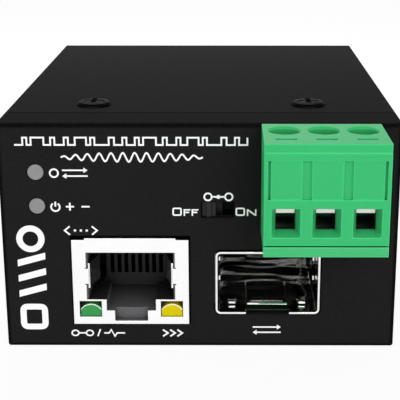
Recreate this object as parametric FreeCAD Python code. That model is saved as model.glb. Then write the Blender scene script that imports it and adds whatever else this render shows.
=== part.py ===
# Industrial fibre media converter: a small steel box that joins a copper network socket to a
# pluggable optical module port, fed through a three-pole plug-in screw terminal.
#
# Frame: +X to the right of the front panel, +Y from the panel to the rear, +Z up, millimetres.
# The origin is the centre of the case's underside. Two circuit boards are stacked inside: the main
# board carries the socket and the module cage, the power board carries the terminal, the slide
# switch and the two indicator lights.
import FreeCAD, Part
import os
from math import hypot

Vector = FreeCAD.Vector

# how far one cutting shape reaches into the next, so that no skin is left between them
overlap = 0.1

# ---------------------------------------------------------------- folded steel case
case_width = 54.0
case_height = 32.2
case_depth = 63.2
sheet = 0.8
fold_round = 0.3         # outside of the grooved, nearly sharp folds
panel_round = 0.9        # softer edge all round the front panel's face
rim_depth = 6.3          # depth of the rim round the front panel, flush with the cover
seam_gap = 0.3           # open joint between the rim and the cover
nest_gap = 0.1           # side play between the cover and the base tray inside it
cover_lift = 0.3         # the cover's lower edges stay this far above the underside
flange_height = 13.5     # upturned sides of the base tray
return_depth = 8.0       # top return of the rear wall
corner_relief = 1.0
lap_length = 3.0         # how far the screw tabs lap under the rim
tab_reach = 8.0          # how far the screw tabs reach past the rim
tab_inset = 2.6          # screw tabs stay this far inside the case's sides

# ---------------------------------------------------------------- fasteners
thread_radius = 1.45     # M3 body, for the case
thread_gap = 0.05        # modelled play in a tapped hole
clear_gap = 0.25         # play in a clearance hole
head_radius = 2.4
head_height = 0.65
crown_steps = ((0.35, 1.0), (0.75, 0.87), (1.0, 0.6))   # shares of a head's height and radius
cross_width = 0.7
cross_length = 2.9
cross_depth = 0.45
board_thread_radius = 1.2    # M2.5 body, for the boards
board_head_radius = 2.2
board_screw_length = 5.0
collar_radius = 2.0      # plunged collar round a tapped hole
collar_height = 1.2
cover_screw_length = 3.6
base_screw_length = 2.9
cover_screw_pitch = 30.4
cover_screw_setback = 11.45
side_screw_setback = 14.0
side_screw_z = 10.0
csk_radius = 2.35        # thin countersunk head, as deep as the sheet
clip_nut_pitch = 25.0    # rear nuts for a rail clip
clip_nut_radius = 2.1
clip_nut_flange = 3.0
clip_nut_depth = 1.4

# ---------------------------------------------------------------- circuit boards
board_thick = 1.6
board_side_gap = 0.4     # from the tray's upturned sides
board_front_gap = 0.5    # from the panel's inner face
board_rear_gap = 2.6     # from the rear wall
standoff_height = 2.8
spacer_flat = 4.5        # across flats, of the standoffs too
board_hole_inset = 2.7   # from the boards' side edges
front_hole_gap = 4.0     # from the back of the network socket
rear_hole_inset = 2.6    # from the boards' rear edge
upper_board_gap = 0.3    # the power board clears the network socket
cut_gap = 0.2            # play round a part in its panel opening
socket_centre = 0.315    # middle of the gap between the two sockets
socket_gap = 3.69        # between the network socket and the module cage

# ---------------------------------------------------------------- network socket
plug_bay_width = 11.75   # takes the cable's plug
jack_wall = 2.075        # from the plug bay to the socket's side
jack_height = 12.3
jack_length = 21.0
jack_sink = 1.45         # the socket sits this far down in a notch of the main board
jack_proud = 0.4
jack_notch_gap = 0.2
shield = 0.25
shield_floor_reach = 3.0     # what is left of the shield's floor behind its face
window_play = 0.2        # the shield's window stands this far outside the plug bay
window_low = 3.62        # heights above the socket's underside
window_high = 10.5
lamp_low = 1.05
lamp_high = 3.4
lamp_margin = 0.82       # from the socket's side to a lamp's pocket
lamp_strip = 0.67        # from a lamp's pocket to the latch channel
lamp_play = 0.08
lamp_lens_side = 1.0
lamp_lens_rise = 0.8
lamp_length = 6.0
slot_low = 0.45
grip_low = 5.95          # the shield's side grips in the window
grip_high = 8.15
grip_reach = 0.35
grip_notch = 0.16
plug_bay_depth = 13.6
latch_width = 6.8
latch_step_z = 1.97
latch_foot_width = 4.55
latch_foot_depth = 1.2   # the channel's narrow foot is only a notch in the face
bulge_width = 12.4
bulge_height = 0.25
bulge_depth = 3.6
contact_count = 8
contact_pitch = 1.016
contact_wide = 0.36
contact_thick = 0.25
comb_depth = 4.0
comb_slot_low = 3.8
comb_slot_width = 0.56
ceiling_slot = 0.95
tail_room = 1.4
contact_nose = 3.0       # the contacts turn back down this far behind the face
wing_reach = 1.2
wing_length = 2.6
wing_places = (0.25, 0.62)   # as shares of the socket's length
comb_margin = 0.4
comb_wall = 0.6
ceiling_slot_start = 2.0
spring_low = 5.3         # the shield's side springs, folded back into the plug bay
spring_high = 8.9
spring_root = 5.7        # from the socket's middle: where they start, bend and end
spring_bend = 4.8
spring_end = 5.2
spring_bend_depth = 4.2
spring_end_depth = 6.8
lamp_wall = 0.3          # moulding behind a lamp's pocket
contact_bend = 0.5
contact_tip_rise = 1.5
contact_tip_gap = 1.4

# ---------------------------------------------------------------- optical module port
cage_width = 14.3
cage_height = 9.1
cage_length = 48.5
cage_sheet = 0.25
cage_round = 0.7
cage_proud = 0.25
latch_gap_width = 6.0
latch_gap_depth = 2.0
latch_tab_length = 9.0
latch_tab_width = 5.5
latch_hole_depth = 1.6
latch_hole_margin = 0.5
guide_tab_length = 7.0
guide_tab_height = 0.9
guide_tab_reach = 0.35
guide_tab_levels = (0.3, 0.62)   # as shares of the cage's height
guide_tab_start = 0.09           # as a share of the cage's length
guide_tab_slit = 0.15
guide_tab_tip = 1.0
latch_lip_rise = 0.55    # the tongue's front edge is turned up
latch_lip_length = 0.8
floor_catch_x = 4.9      # small catches pressed up from the floor, beside the tongue
floor_catch_width = 1.2
floor_catch_start = 2.6
floor_catch_length = 2.0
floor_catch_rise = 0.45
floor_catch_gap = 0.15
cage_floor_opening = 12.0
collar_sheet = 0.15
collar_length = 5.0
collar_setback = 0.6     # behind the panel
top_finger_count = 5
side_finger_count = 3
finger_width = 1.5
finger_rise = 0.55
finger_tip_rise = 0.385
finger_overhang = 0.5
finger_crest = 1.6
finger_root = 0.8
host_width = 12.8
host_height = 5.4
host_depth = 9.2
host_slot_width = 10.6
host_slot_height = 1.3
host_slot_depth = 5.0
host_slot_low = 2.1
host_lead_in = 0.4
host_lead_depth = 0.5
host_groove_gap = 0.06
host_groove_start = 0.8
host_groove_depth = 0.55
host_blade_start = 1.4
host_blade_lift = (0.4, 0.1)     # off the slot's faces, at the root and at the tip
host_contact_count = 10
host_contact_pitch = 0.8
host_contact_wide = 0.32
host_contact_thick = 0.2
host_gap = 0.4

# ---------------------------------------------------------------- plug-in screw terminal
poles = 3
pole_pitch = 5.08
terminal_inset = 3.03    # from the case's side to the plug's side
header_height = 8.5
header_wall = 0.85
header_back = 2.0
header_proud = 0.3
header_play = 0.1        # above and below the plug's tongue
key_width = 1.6
key_height = 0.5
pin_side = 1.0
pin_axis_height = 3.85   # above the power board
pin_tip_back = 1.3
pin_bend_out = 1.3
plug_side = 0.23         # the plug's body past its outer poles
plug_round = 0.3         # softened top front edge
key_end = 0.6            # the keys stop this far before the tongue's end
plug_height = 14.65
plug_drop = 0.6          # how far the plug's foot hangs below the power board's top
plug_body_depth = 10.5
tongue_length = 7.4
tongue_end_gap = 0.3
base_lid = 1.3
lid_groove = 0.2
funnel_width = 3.6
funnel_height = 3.8
funnel_depth = 1.7
front_wall = 2.0         # from the plug's face to the wire cells
entry_width = 2.5
entry_height = 2.7
screw_shoulder = 3.5     # screw axis in front of the plug's shoulder
bore_radius = 1.95
marker_width = 3.9       # flat pads between the front grooves
marker_low = 7.5
marker_high = 12.5
marker_depth = 0.45
pad_depth = 0.1          # the pads lie a little below the face
end_groove = 0.35        # narrower groove outside the first and last pads
brow_height = 1.15
brow_depth = 0.15
probe_width = 2.7
probe_length = 0.9
probe_depth = 0.6
probe_setback = 2.55
bore_chamfer = 0.25
bar_wide = 2.4
bar_thick = 0.8
bar_above_axis = 0.7
leaf_thick = 0.3
leaf_gap = 0.05
cage_side_play = 0.1
clamp_width = 4.0
clamp_depth = 4.2
clamp_wall = 0.5
clamp_top = 1.2
clamp_floor = 0.8
clamp_window = 3.7
clamp_travel = 2.0
clamp_play = 0.05
clamp_end_gap = 0.2
shelf_thick = 1.0
screw_head_radius = 1.85
screw_head_height = 1.8
screw_slot_width = 0.6
screw_slot_depth = 0.8
screw_end_gap = 0.2
screw_seat_gap = 0.05
bar_front = 0.1          # the current bar starts this far behind the cell's front
socket_web = 0.5
socket_web_gap = 0.2
socket_end = 0.6         # the socket leaves stop this far inside the tongue

# ---------------------------------------------------------------- slide switch and lights
switch_pitch = 13.66     # from the slot's middle to the terminal's middle
switch_height = 2.04     # knob's centre above the power board
slot_height = 2.27
knob_width = 1.84
knob_travel = 2.4
knob_play = 0.1
knob_recess = 0.15
switch_body_width = 8.6
switch_body_height = 3.9
switch_body_depth = 4.4
switch_wall = 0.7
switch_gap = 0.15
slider_play = 0.15
knob_rib = 0.6
knob_step = 0.25
light_inset = 5.13       # from the case's side
light_low = 2.58         # lower light's centre above the power board
light_pitch = 4.74
light_radius = 1.07
light_play = 0.06
light_flange = 1.45
light_flange_length = 1.0
light_body_length = 3.4
light_block_width = 4.2
light_block_depth = 5.0
light_block_margin = 1.7
lead_bend_out = 0.8
lead_row_gap = 1.4
lead_side = 0.45
lead_spread = 1.27

# ---------------------------------------------------------------- worked out from the sizes above
half_width = case_width / 2
front_y = -case_depth / 2
back_y = case_depth / 2
panel_back_y = front_y + sheet
rim_back_y = front_y + rim_depth
cover_front_y = rim_back_y + seam_gap
inner_top = case_height - sheet
tray_half = half_width - sheet - nest_gap
board_half = tray_half - sheet - board_side_gap
board_front = panel_back_y + board_front_gap
board_back = back_y - sheet - board_rear_gap
main_bottom = sheet + standoff_height
main_top = main_bottom + board_thick
tapped_radius = thread_radius + thread_gap
clear_radius = thread_radius + clear_gap
cover_screw_places = [(side * cover_screw_pitch / 2, front_y + cover_screw_setback) for side in (-1, 1)]
side_screw_y = back_y - side_screw_setback
clip_nut_places = [side * clip_nut_pitch / 2 for side in (-1, 1)]

jack_width = plug_bay_width + 2 * jack_wall
jack_x = socket_centre - socket_gap / 2 - jack_width / 2
jack_bottom = main_top - jack_sink
jack_top = jack_bottom + jack_height
jack_front = front_y - jack_proud
jack_back = jack_front + jack_length
window_width = plug_bay_width + 2 * window_play
lamp_pocket_width = jack_width / 2 - lamp_margin - lamp_strip - latch_width / 2
lamp_lens_width = lamp_pocket_width - 2 * lamp_play

power_bottom = jack_top + bulge_height + upper_board_gap
power_top = power_bottom + board_thick
spacer_height = power_bottom - main_top
board_tapped_radius = board_thread_radius + thread_gap
board_hole_radius = board_thread_radius + clear_gap
board_holes = [(side * (board_half - board_hole_inset), y) for side in (-1, 1)
               for y in (jack_back + front_hole_gap, board_back - rear_hole_inset)]

port_x = socket_centre + socket_gap / 2 + cage_width / 2
cage_bottom = main_top
cage_top = cage_bottom + cage_height
cage_front = front_y - cage_proud
cage_back = cage_front + cage_length

tongue_half = poles * pole_pitch / 2
header_front = front_y - header_proud
header_back_y = header_front + tongue_length + tongue_end_gap + header_back
header_top = power_top + header_height
wire_z = power_top + pin_axis_height
plug_half = poles * pole_pitch / 2 + plug_side
terminal_x = half_width - terminal_inset - plug_half
plug_bottom = power_top - plug_drop
plug_top = plug_bottom + plug_height
plug_front = header_front - plug_body_depth
pole_places = [terminal_x + (i - (poles - 1) / 2) * pole_pitch for i in range(poles)]
tongue_low = power_top + header_wall + header_play
tongue_high = header_top - header_wall - header_play
tongue_end = header_front + tongue_length

screw_y = header_front - screw_shoulder
bar_low = wire_z + bar_above_axis
bar_high = bar_low + bar_thick
clamp_inner_top = bar_high + clamp_play
clamp_outer_top = clamp_inner_top + clamp_top
clamp_inner_low = clamp_inner_top - clamp_window
clamp_outer_low = clamp_inner_low - clamp_floor
cell_half = clamp_width / 2 + cage_side_play
cell_front = plug_front + front_wall
cell_back = screw_y + clamp_depth / 2 + clamp_end_gap
lid_top = plug_bottom + base_lid
cell_top = clamp_outer_top + clamp_travel + clamp_end_gap
shelf_top = cell_top + shelf_thick

switch_x = terminal_x - switch_pitch
knob_z = power_top + switch_height
slot_width = knob_width + knob_travel + 2 * knob_play
knob_left = switch_x - slot_width / 2 + knob_play
switch_front = panel_back_y + switch_gap
light_x = light_inset - half_width
light_places = [power_top + light_low + i * light_pitch for i in range(2)]


# ---------------------------------------------------------------- shared shapes
def block(x, y, z):
    """A box from its low and high X, Y and Z."""
    return Part.makeBox(x[1] - x[0], y[1] - y[0], z[1] - z[0], Vector(x[0], y[0], z[0]))


def about(centre, size):
    """The low and high ends of a length centred on a place."""
    return (centre - size / 2, centre + size / 2)


def upright(x, y, radius, z):
    """A cylinder along Z."""
    return Part.makeCylinder(radius, z[1] - z[0], Vector(x, y, z[0]))


def lengthwise(x, z, radius, y):
    """A cylinder along Y."""
    return Part.makeCylinder(radius, y[1] - y[0], Vector(x, y[0], z), Vector(0, 1, 0))


def crosswise(y, z, radius, x):
    """A cylinder along X."""
    return Part.makeCylinder(radius, x[1] - x[0], Vector(x[0], y, z), Vector(1, 0, 0))


def fuse_all(shapes):
    """One solid from touching shapes, with shared faces merged."""
    whole = shapes[0].multiFuse(shapes[1:]) if len(shapes) > 1 else shapes[0]
    return whole.removeSplitter()


def fillet_where(shape, radius, wanted):
    """Rounds the edges that the test picks."""
    edges = [edge for edge in shape.Edges if wanted(edge)]
    return shape.makeFillet(radius, edges) if edges else shape


def runs_along(edge, axis):
    """True for a straight edge along one axis."""
    if len(edge.Vertexes) != 2:
        return False
    step = edge.Vertexes[1].Point - edge.Vertexes[0].Point
    return all(abs(getattr(step, other)) < 1e-6 for other in "xyz" if other != axis)


def strip_outline(path, thick):
    """Both sides of a strip of even thickness along a path, with mitred corners."""
    sides = ([], [])
    for i, (u, v) in enumerate(path):
        before = path[i - 1] if i else None
        after = path[i + 1] if i + 1 < len(path) else None
        normals = []
        for a, b in ((before, (u, v)), ((u, v), after)):
            if a is not None and b is not None:
                run = hypot(b[0] - a[0], b[1] - a[1])
                normals.append(((a[1] - b[1]) / run, (b[0] - a[0]) / run))
        nu = sum(n[0] for n in normals) / len(normals)
        nv = sum(n[1] for n in normals) / len(normals)
        reach = thick / 2 / (nu * nu + nv * nv)
        sides[0].append((u + nu * reach, v + nv * reach))
        sides[1].append((u - nu * reach, v - nv * reach))
    return sides


def bent_strip(path, thick, across, span, outside=0.0):
    """A sheet strip folded along a centreline path and drawn out over a span.

    across is the axis it is drawn out along: 'x' takes a (y, z) path and 'y' takes an (x, z) path.
    outside is the radius on the outer side of each fold, or 0 for sharp folds.
    """
    def place(point):
        if across == "x":
            return Vector(span[0], point[0], point[1])
        return Vector(point[0], span[0], point[1])

    sides = strip_outline(path, thick)
    outline = [place(p) for p in sides[0] + sides[1][::-1]]
    face = Part.Face(Part.makePolygon(outline + outline[:1]))
    length = span[1] - span[0]
    solid = face.extrude(Vector(length, 0, 0) if across == "x" else Vector(0, length, 0))
    if not outside:
        return solid
    for i in range(1, len(path) - 1):
        turn = ((path[i][0] - path[i - 1][0]) * (path[i + 1][1] - path[i][1])
                - (path[i][1] - path[i - 1][1]) * (path[i + 1][0] - path[i][0]))
        corner = Part.Vertex(place(sides[1][i] if turn > 0 else sides[0][i]))
        solid = fillet_where(solid, outside, lambda edge: runs_along(edge, across)
                             and edge.distToShape(corner)[0] < 1e-6)
    return solid


def rounded_tube(x, y, z, radius):
    """A box with its four lengthwise edges rounded."""
    return fillet_where(block(x, y, z), radius, lambda edge: runs_along(edge, "y"))


def hexagon(x, y, flats, z):
    """An upright hexagonal prism, given across its flats."""
    middle = Vector(x, y, z[0])
    corner = Part.Vertex(x + flats / 3 ** 0.5, y, z[0])
    ring = [turned(corner, Vector(0, 0, 1), 60 * i, middle).Point for i in range(6)]
    return Part.Face(Part.makePolygon(ring + ring[:1])).extrude(Vector(0, 0, z[1] - z[0]))


def screw_upright(x, y, seat, length, thread, head):
    """Low round-headed screw with a cross recess, standing on its seat with its tip down."""
    parts = [upright(x, y, thread, (seat - length, seat))]
    low, wide = 0.0, 1.0
    for high, narrow in crown_steps:
        base = Vector(x, y, seat + head_height * low)
        rise = head_height * (high - low)
        if narrow == wide:
            parts.append(Part.makeCylinder(head * wide, rise, base))
        else:
            parts.append(Part.makeCone(head * wide, head * narrow, rise, base))
        low, wide = high, narrow
    reach = cross_length * head / head_radius
    floor = (seat + head_height - cross_depth, seat + head_height + 1)
    cross = block(about(x, reach), about(y, cross_width), floor).fuse(
        block(about(x, cross_width), about(y, reach), floor))
    return fuse_all(parts).cut(cross)


def turned(shape, axis, degrees, about_point=Vector(0, 0, 0)):
    """A copy of a shape turned about an axis through a point."""
    copy = shape.copy()
    copy.rotate(about_point, axis, degrees)
    return copy


def save(name, *solids):
    """Writes one node, checking that every solid in it is closed and valid."""
    pieces = [solid for shape in solids for solid in shape.Solids]
    for solid in pieces:
        if not solid.isValid() or solid.Volume <= 0:
            raise ValueError(name + " holds a solid that isn't valid")
    shape = pieces[0] if len(pieces) == 1 else Part.makeCompound(pieces)
    shape.exportStep(os.path.join("parts", name + ".step"))


# ---------------------------------------------------------------- case
def front_panel():
    """Pan with a closed rim, the panel openings, and two lapped tabs for the cover and base screws."""
    outer = block((-half_width, half_width), (front_y, rim_back_y), (0, case_height))
    outer = fillet_where(outer, fold_round, lambda edge: runs_along(edge, "y"))
    outer = fillet_where(outer, panel_round, lambda edge: edge.BoundBox.YMax < front_y + 1e-6)
    inner = block((-half_width + sheet, half_width - sheet), (panel_back_y, rim_back_y + sheet),
                  (sheet, case_height - sheet))
    tab_x = (-half_width + tab_inset, half_width - tab_inset)
    tab_y = (rim_back_y - lap_length, rim_back_y + tab_reach)
    top_tab = block(tab_x, tab_y, (inner_top - sheet, inner_top))
    low_tab = block(tab_x, tab_y, (sheet, 2 * sheet))
    collars = []
    for x, y in cover_screw_places:
        collars.append(upright(x, y, collar_radius, (inner_top - sheet - collar_height, inner_top - sheet)))
        collars.append(upright(x, y, collar_radius, (2 * sheet, 2 * sheet + collar_height)))
    panel = fuse_all([outer.cut(inner), top_tab, low_tab] + collars)
    through = (front_y - 1, panel_back_y + 1)
    holes = [upright(x, y, tapped_radius, (sheet / 2, inner_top)) for x, y in cover_screw_places]
    holes.append(block(about(jack_x, jack_width + 2 * cut_gap), through,
                       (jack_bottom - cut_gap, jack_top + bulge_height + cut_gap)))
    holes.append(rounded_tube(about(port_x, cage_width + 2 * cut_gap), through,
                              (cage_bottom - cut_gap, cage_top + cut_gap), cage_round + cut_gap))
    holes.append(block((terminal_x - tongue_half - cut_gap, terminal_x + tongue_half + cut_gap), through,
                       (power_top - cut_gap, header_top + cut_gap)))
    holes.append(block(about(switch_x, slot_width), through, about(knob_z, slot_height)))
    for z in light_places:
        holes.append(lengthwise(light_x, z, light_radius + light_play, through))
    return panel.cut(holes)


def base_tray():
    """Bottom with two upturned sides, folded up at the rear into the back wall and its top return."""
    middle = sheet / 2
    side = tray_half - middle
    trough = bent_strip([(-side, flange_height), (-side, middle), (side, middle), (side, flange_height)],
                        sheet, "y", (cover_front_y, back_y - sheet - corner_relief), fold_round)
    wall = back_y - middle
    rear = bent_strip([(back_y - return_depth, middle), (wall, middle), (wall, inner_top - middle),
                       (back_y - return_depth, inner_top - middle)],
                      sheet, "x", (-tray_half, tray_half), fold_round)
    corner = sheet + fold_round
    rear = rear.cut([block((side_x, side_x + corner + 1),
                           (back_y - return_depth - 1, back_y - sheet - corner_relief), (-1, sheet + 1))
                     for side_x in (-tray_half - 1, tray_half - corner)])
    collars = [crosswise(side_screw_y, side_screw_z, collar_radius, span) for span in (
        (tray_half - sheet - collar_height, tray_half - sheet / 2),
        (sheet / 2 - tray_half, sheet + collar_height - tray_half))]
    tray = fuse_all([trough, rear] + collars)
    holes = [crosswise(side_screw_y, side_screw_z, tapped_radius, (-half_width, half_width))]
    for x, y in cover_screw_places:
        holes.append(Part.makeCone(csk_radius, tapped_radius, sheet, Vector(x, y, 0)))
    for x in clip_nut_places:
        holes.append(lengthwise(x, case_height / 2, clip_nut_radius, (back_y - 2 * sheet, back_y + 1)))
    return tray.cut(holes)


def top_cover():
    """Top and both sides in one fold, open at the rear, resting on the tabs and the rear return."""
    middle = sheet / 2
    side = half_width - middle
    cover = bent_strip([(-side, cover_lift), (-side, case_height - middle), (side, case_height - middle),
                        (side, cover_lift)], sheet, "y", (cover_front_y, back_y), fold_round)
    holes = [crosswise(side_screw_y, side_screw_z, clear_radius, (-half_width - 1, half_width + 1))]
    for x, y in cover_screw_places:
        holes.append(upright(x, y, clear_radius, (inner_top - 1, case_height + 1)))
    return cover.cut(holes)


def cover_screws():
    """Two screws through the top into the panel's tab, and one through each side into the tray."""
    screws = [screw_upright(x, y, case_height, cover_screw_length, thread_radius, head_radius)
              for x, y in cover_screw_places]
    upward = screw_upright(0, 0, 0, cover_screw_length, thread_radius, head_radius)
    for side in (-1, 1):
        screw = turned(upward, Vector(0, 1, 0), 90 * side)
        screw.translate(Vector(side * half_width, side_screw_y, side_screw_z))
        screws.append(screw)
    return screws


def base_screws():
    """Thin countersunk screws that hold the front panel's lower tab to the tray."""
    screws = []
    for x, y in cover_screw_places:
        head = Part.makeCone(csk_radius, thread_radius, sheet, Vector(x, y, 0))
        body = upright(x, y, thread_radius, (sheet / 2, base_screw_length))
        slot = block(about(x, cross_length), about(y, cross_width), (0, cross_depth)).fuse(
            block(about(x, cross_width), about(y, cross_length), (0, cross_depth)))
        screws.append(head.fuse(body).removeSplitter().cut(slot))
    return screws


def clip_nuts():
    """Clinch nuts pressed into the rear wall, for a rail clip."""
    nuts = []
    for x in clip_nut_places:
        z = case_height / 2
        shank = lengthwise(x, z, clip_nut_radius, (back_y - sheet, back_y))
        flange = lengthwise(x, z, clip_nut_flange, (back_y - sheet - clip_nut_depth, back_y - sheet))
        bore = lengthwise(x, z, thread_radius, (back_y - 2 * sheet - clip_nut_depth, back_y + 1))
        nuts.append(shank.fuse(flange).removeSplitter().cut(bore))
    return nuts


# ---------------------------------------------------------------- boards and their supports
def board(bottom):
    """A plain board with its four fixing holes."""
    plate = block((-board_half, board_half), (board_front, board_back), (bottom, bottom + board_thick))
    return plate.cut([upright(x, y, board_hole_radius, (bottom - 1, bottom + board_thick + 1))
                      for x, y in board_holes])


def main_board():
    """Lower board, notched at the front edge for the sunk socket."""
    notch = block(about(jack_x, jack_width + 2 * jack_notch_gap),
                  (board_front - 1, jack_back - tail_room - shield), (main_bottom - 1, main_top + 1))
    return board(main_bottom).cut(notch)


def board_standoffs():
    """Hexagonal standoffs pressed into the tray, tapped from above."""
    return [hexagon(x, y, spacer_flat, (sheet, main_bottom)).cut(
        upright(x, y, board_tapped_radius, (sheet, main_bottom))) for x, y in board_holes]


def board_spacers():
    """Hexagonal spacers between the boards, each with a stud down into its standoff."""
    spacers = []
    for x, y in board_holes:
        body = hexagon(x, y, spacer_flat, (main_top, power_bottom))
        bore = upright(x, y, board_tapped_radius, (main_top + spacer_height / 2, power_bottom))
        stud = upright(x, y, board_thread_radius, (main_bottom - standoff_height / 2, main_top))
        spacers.append(fuse_all([body.cut(bore), stud]))
    return spacers


def board_screws():
    """Screws through the power board into the spacers."""
    return [screw_upright(x, y, power_top, board_screw_length, board_thread_radius, board_head_radius)
            for x, y in board_holes]


# ---------------------------------------------------------------- network socket
def jack_at(x, depth, z):
    """A box given from the socket's centre, front face and underside."""
    return block((jack_x + x[0], jack_x + x[1]), (jack_front + depth[0], jack_front + depth[1]),
                 (jack_bottom + z[0], jack_bottom + z[1]))


def lamp_span(side, width):
    """Low and high X of a lamp window, from the socket's centre."""
    outer = jack_width / 2 - lamp_margin - (lamp_pocket_width - width) / 2
    return (side * outer - (width if side > 0 else 0), side * outer + (width if side < 0 else 0))


def jack_shield():
    """Folded plated shell with the stepped front window, side grips, a top earthing bulge and wings."""
    half = jack_width / 2
    shell = jack_at((-half, half), (0, jack_length), (0, jack_height)).cut(
        jack_at((-half + shield, half - shield), (shield, jack_length - shield),
                (shield, jack_height - shield)))
    bulge = jack_at((-bulge_width / 2, bulge_width / 2), (0, bulge_depth),
                    (jack_height - shield / 2, jack_height + bulge_height))
    wings = []
    lift = main_top - jack_bottom
    for share in wing_places:
        depth = jack_length * share
        for low, high in ((-half - wing_reach, -half + shield / 2), (half - shield / 2, half + wing_reach)):
            wings.append(jack_at((low, high), (depth, depth + wing_length), (lift, lift + shield)))
    shell = fuse_all([shell, bulge] + wings)
    window = window_width / 2
    latch = latch_width / 2
    foot = latch_foot_width / 2
    skin = (-1, shield)
    cuts = [jack_at((-window, window), skin, (window_low, window_high)),
            jack_at((-latch, latch), skin, (latch_step_z, window_low + 1)),
            jack_at((-foot, foot), skin, (slot_low, latch_step_z + 1)),
            jack_at(lamp_span(-1, lamp_pocket_width), skin, (lamp_low, lamp_high)),
            jack_at(lamp_span(1, lamp_pocket_width), skin, (lamp_low, lamp_high)),
            jack_at((-half + shield, half - shield), (shield_floor_reach, jack_length - shield), skin),
            block(about(jack_x, jack_width + 2), (jack_back - tail_room - shield, jack_back + 1),
                  (jack_bottom - 1, main_top))]
    for z in (grip_low - grip_notch, grip_high):
        cuts.append(jack_at((-window - grip_notch, window + grip_notch), skin, (z, z + grip_notch)))
    shell = shell.cut(cuts)
    grips = [jack_at(span, (0, shield), (grip_low, grip_high)) for span in (
        (-window - shield, -window + grip_reach), (window - grip_reach, window + shield))]
    line = ((spring_root, shield / 2), (spring_bend, spring_bend_depth), (spring_end, spring_end_depth))
    springs = []
    for side in (-1, 1):
        path = [(jack_x + side * out, jack_front + depth) for out, depth in line]
        springs.append(leaning_tab(path, shield, (jack_bottom + spring_low, jack_bottom + spring_high)))
    return fuse_all([shell] + grips + springs)


def jack_housing():
    """Moulded insert: the plug bay, the latch channel, lamp pockets and the slotted contact comb.

    The channel widens to the comb's width behind the lamp pockets, so the comb stands on its floor.
    """
    half = jack_width / 2 - shield
    back = jack_length - shield - tail_room
    body = jack_at((-half, half), (shield, back), (shield, jack_height - shield))
    bay = plug_bay_width / 2
    latch = latch_width / 2
    foot = latch_foot_width / 2
    reach = contact_count * contact_pitch / 2 + comb_margin
    channel_z = (latch_step_z, window_low + overlap)
    cuts = [jack_at((-bay, bay), (0, plug_bay_depth), (window_low, window_high + overlap)),
            jack_at((-latch, latch), (0, plug_bay_depth), channel_z),
            jack_at((-reach, reach), (lamp_length + shield + lamp_wall, plug_bay_depth), channel_z),
            jack_at((-foot, foot), (0, latch_foot_depth), (slot_low, latch_step_z + overlap))]
    for side in (-1, 1):
        cuts.append(jack_at(lamp_span(side, lamp_pocket_width), (0, lamp_length + shield),
                            (lamp_low, lamp_high)))
    for place in contact_places():
        cuts.append(jack_at((place - comb_slot_width / 2, place + comb_slot_width / 2),
                            (ceiling_slot_start, jack_length), (window_high, window_high + ceiling_slot)))
    comb = jack_at((-reach, reach), (plug_bay_depth - comb_depth, plug_bay_depth),
                   (latch_step_z, window_high + overlap))
    slots = [jack_at((place - comb_slot_width / 2, place + comb_slot_width / 2),
                     (0, plug_bay_depth - comb_wall), (comb_slot_low, window_high + overlap))
             for place in contact_places()]
    return body.cut(cuts).fuse(comb.cut(slots))


def contact_places():
    """Contact centres across the socket, from its middle."""
    return [(i - (contact_count - 1) / 2) * contact_pitch for i in range(contact_count)]


def jack_contacts():
    """Eight spring wires: up from the board, forward along the ceiling, then back down into the comb."""
    top = jack_bottom + window_high + ceiling_slot / 2
    tail = jack_back - shield - tail_room / 2
    nose = jack_front + contact_nose
    tip = (jack_front + plug_bay_depth - contact_tip_gap, jack_bottom + comb_slot_low + contact_tip_rise)
    path = [(tail, main_top), (tail, top), (nose, top), (nose + contact_bend, top - ceiling_slot), tip]
    return [bent_strip(path, contact_thick, "x", about(jack_x + place, contact_wide))
            for place in contact_places()]


def jack_light(side):
    """Light guide with a domed top, in its pocket beside the latch channel."""
    low, high = lamp_span(side, lamp_lens_width)
    x = (jack_x + low, jack_x + high)
    foot = jack_bottom + lamp_low
    shoulder = foot + lamp_lens_side
    y = jack_front + shield
    arc = Part.Arc(Vector(x[1], y, shoulder), Vector(sum(x) / 2, y, shoulder + lamp_lens_rise),
                   Vector(x[0], y, shoulder)).toShape()
    sides = Part.makePolygon([Vector(x[0], y, shoulder), Vector(x[0], y, foot), Vector(x[1], y, foot),
                              Vector(x[1], y, shoulder)])
    face = Part.Face(Part.Wire(sides.Edges + [arc]))
    return face.extrude(Vector(0, lamp_length, 0))


# ---------------------------------------------------------------- optical module port
def cage_at(x, depth, z):
    """A box given from the cage's centre, front edge and floor."""
    return block((port_x + x[0], port_x + x[1]), (cage_front + depth[0], cage_front + depth[1]),
                 (cage_bottom + z[0], cage_bottom + z[1]))


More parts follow.
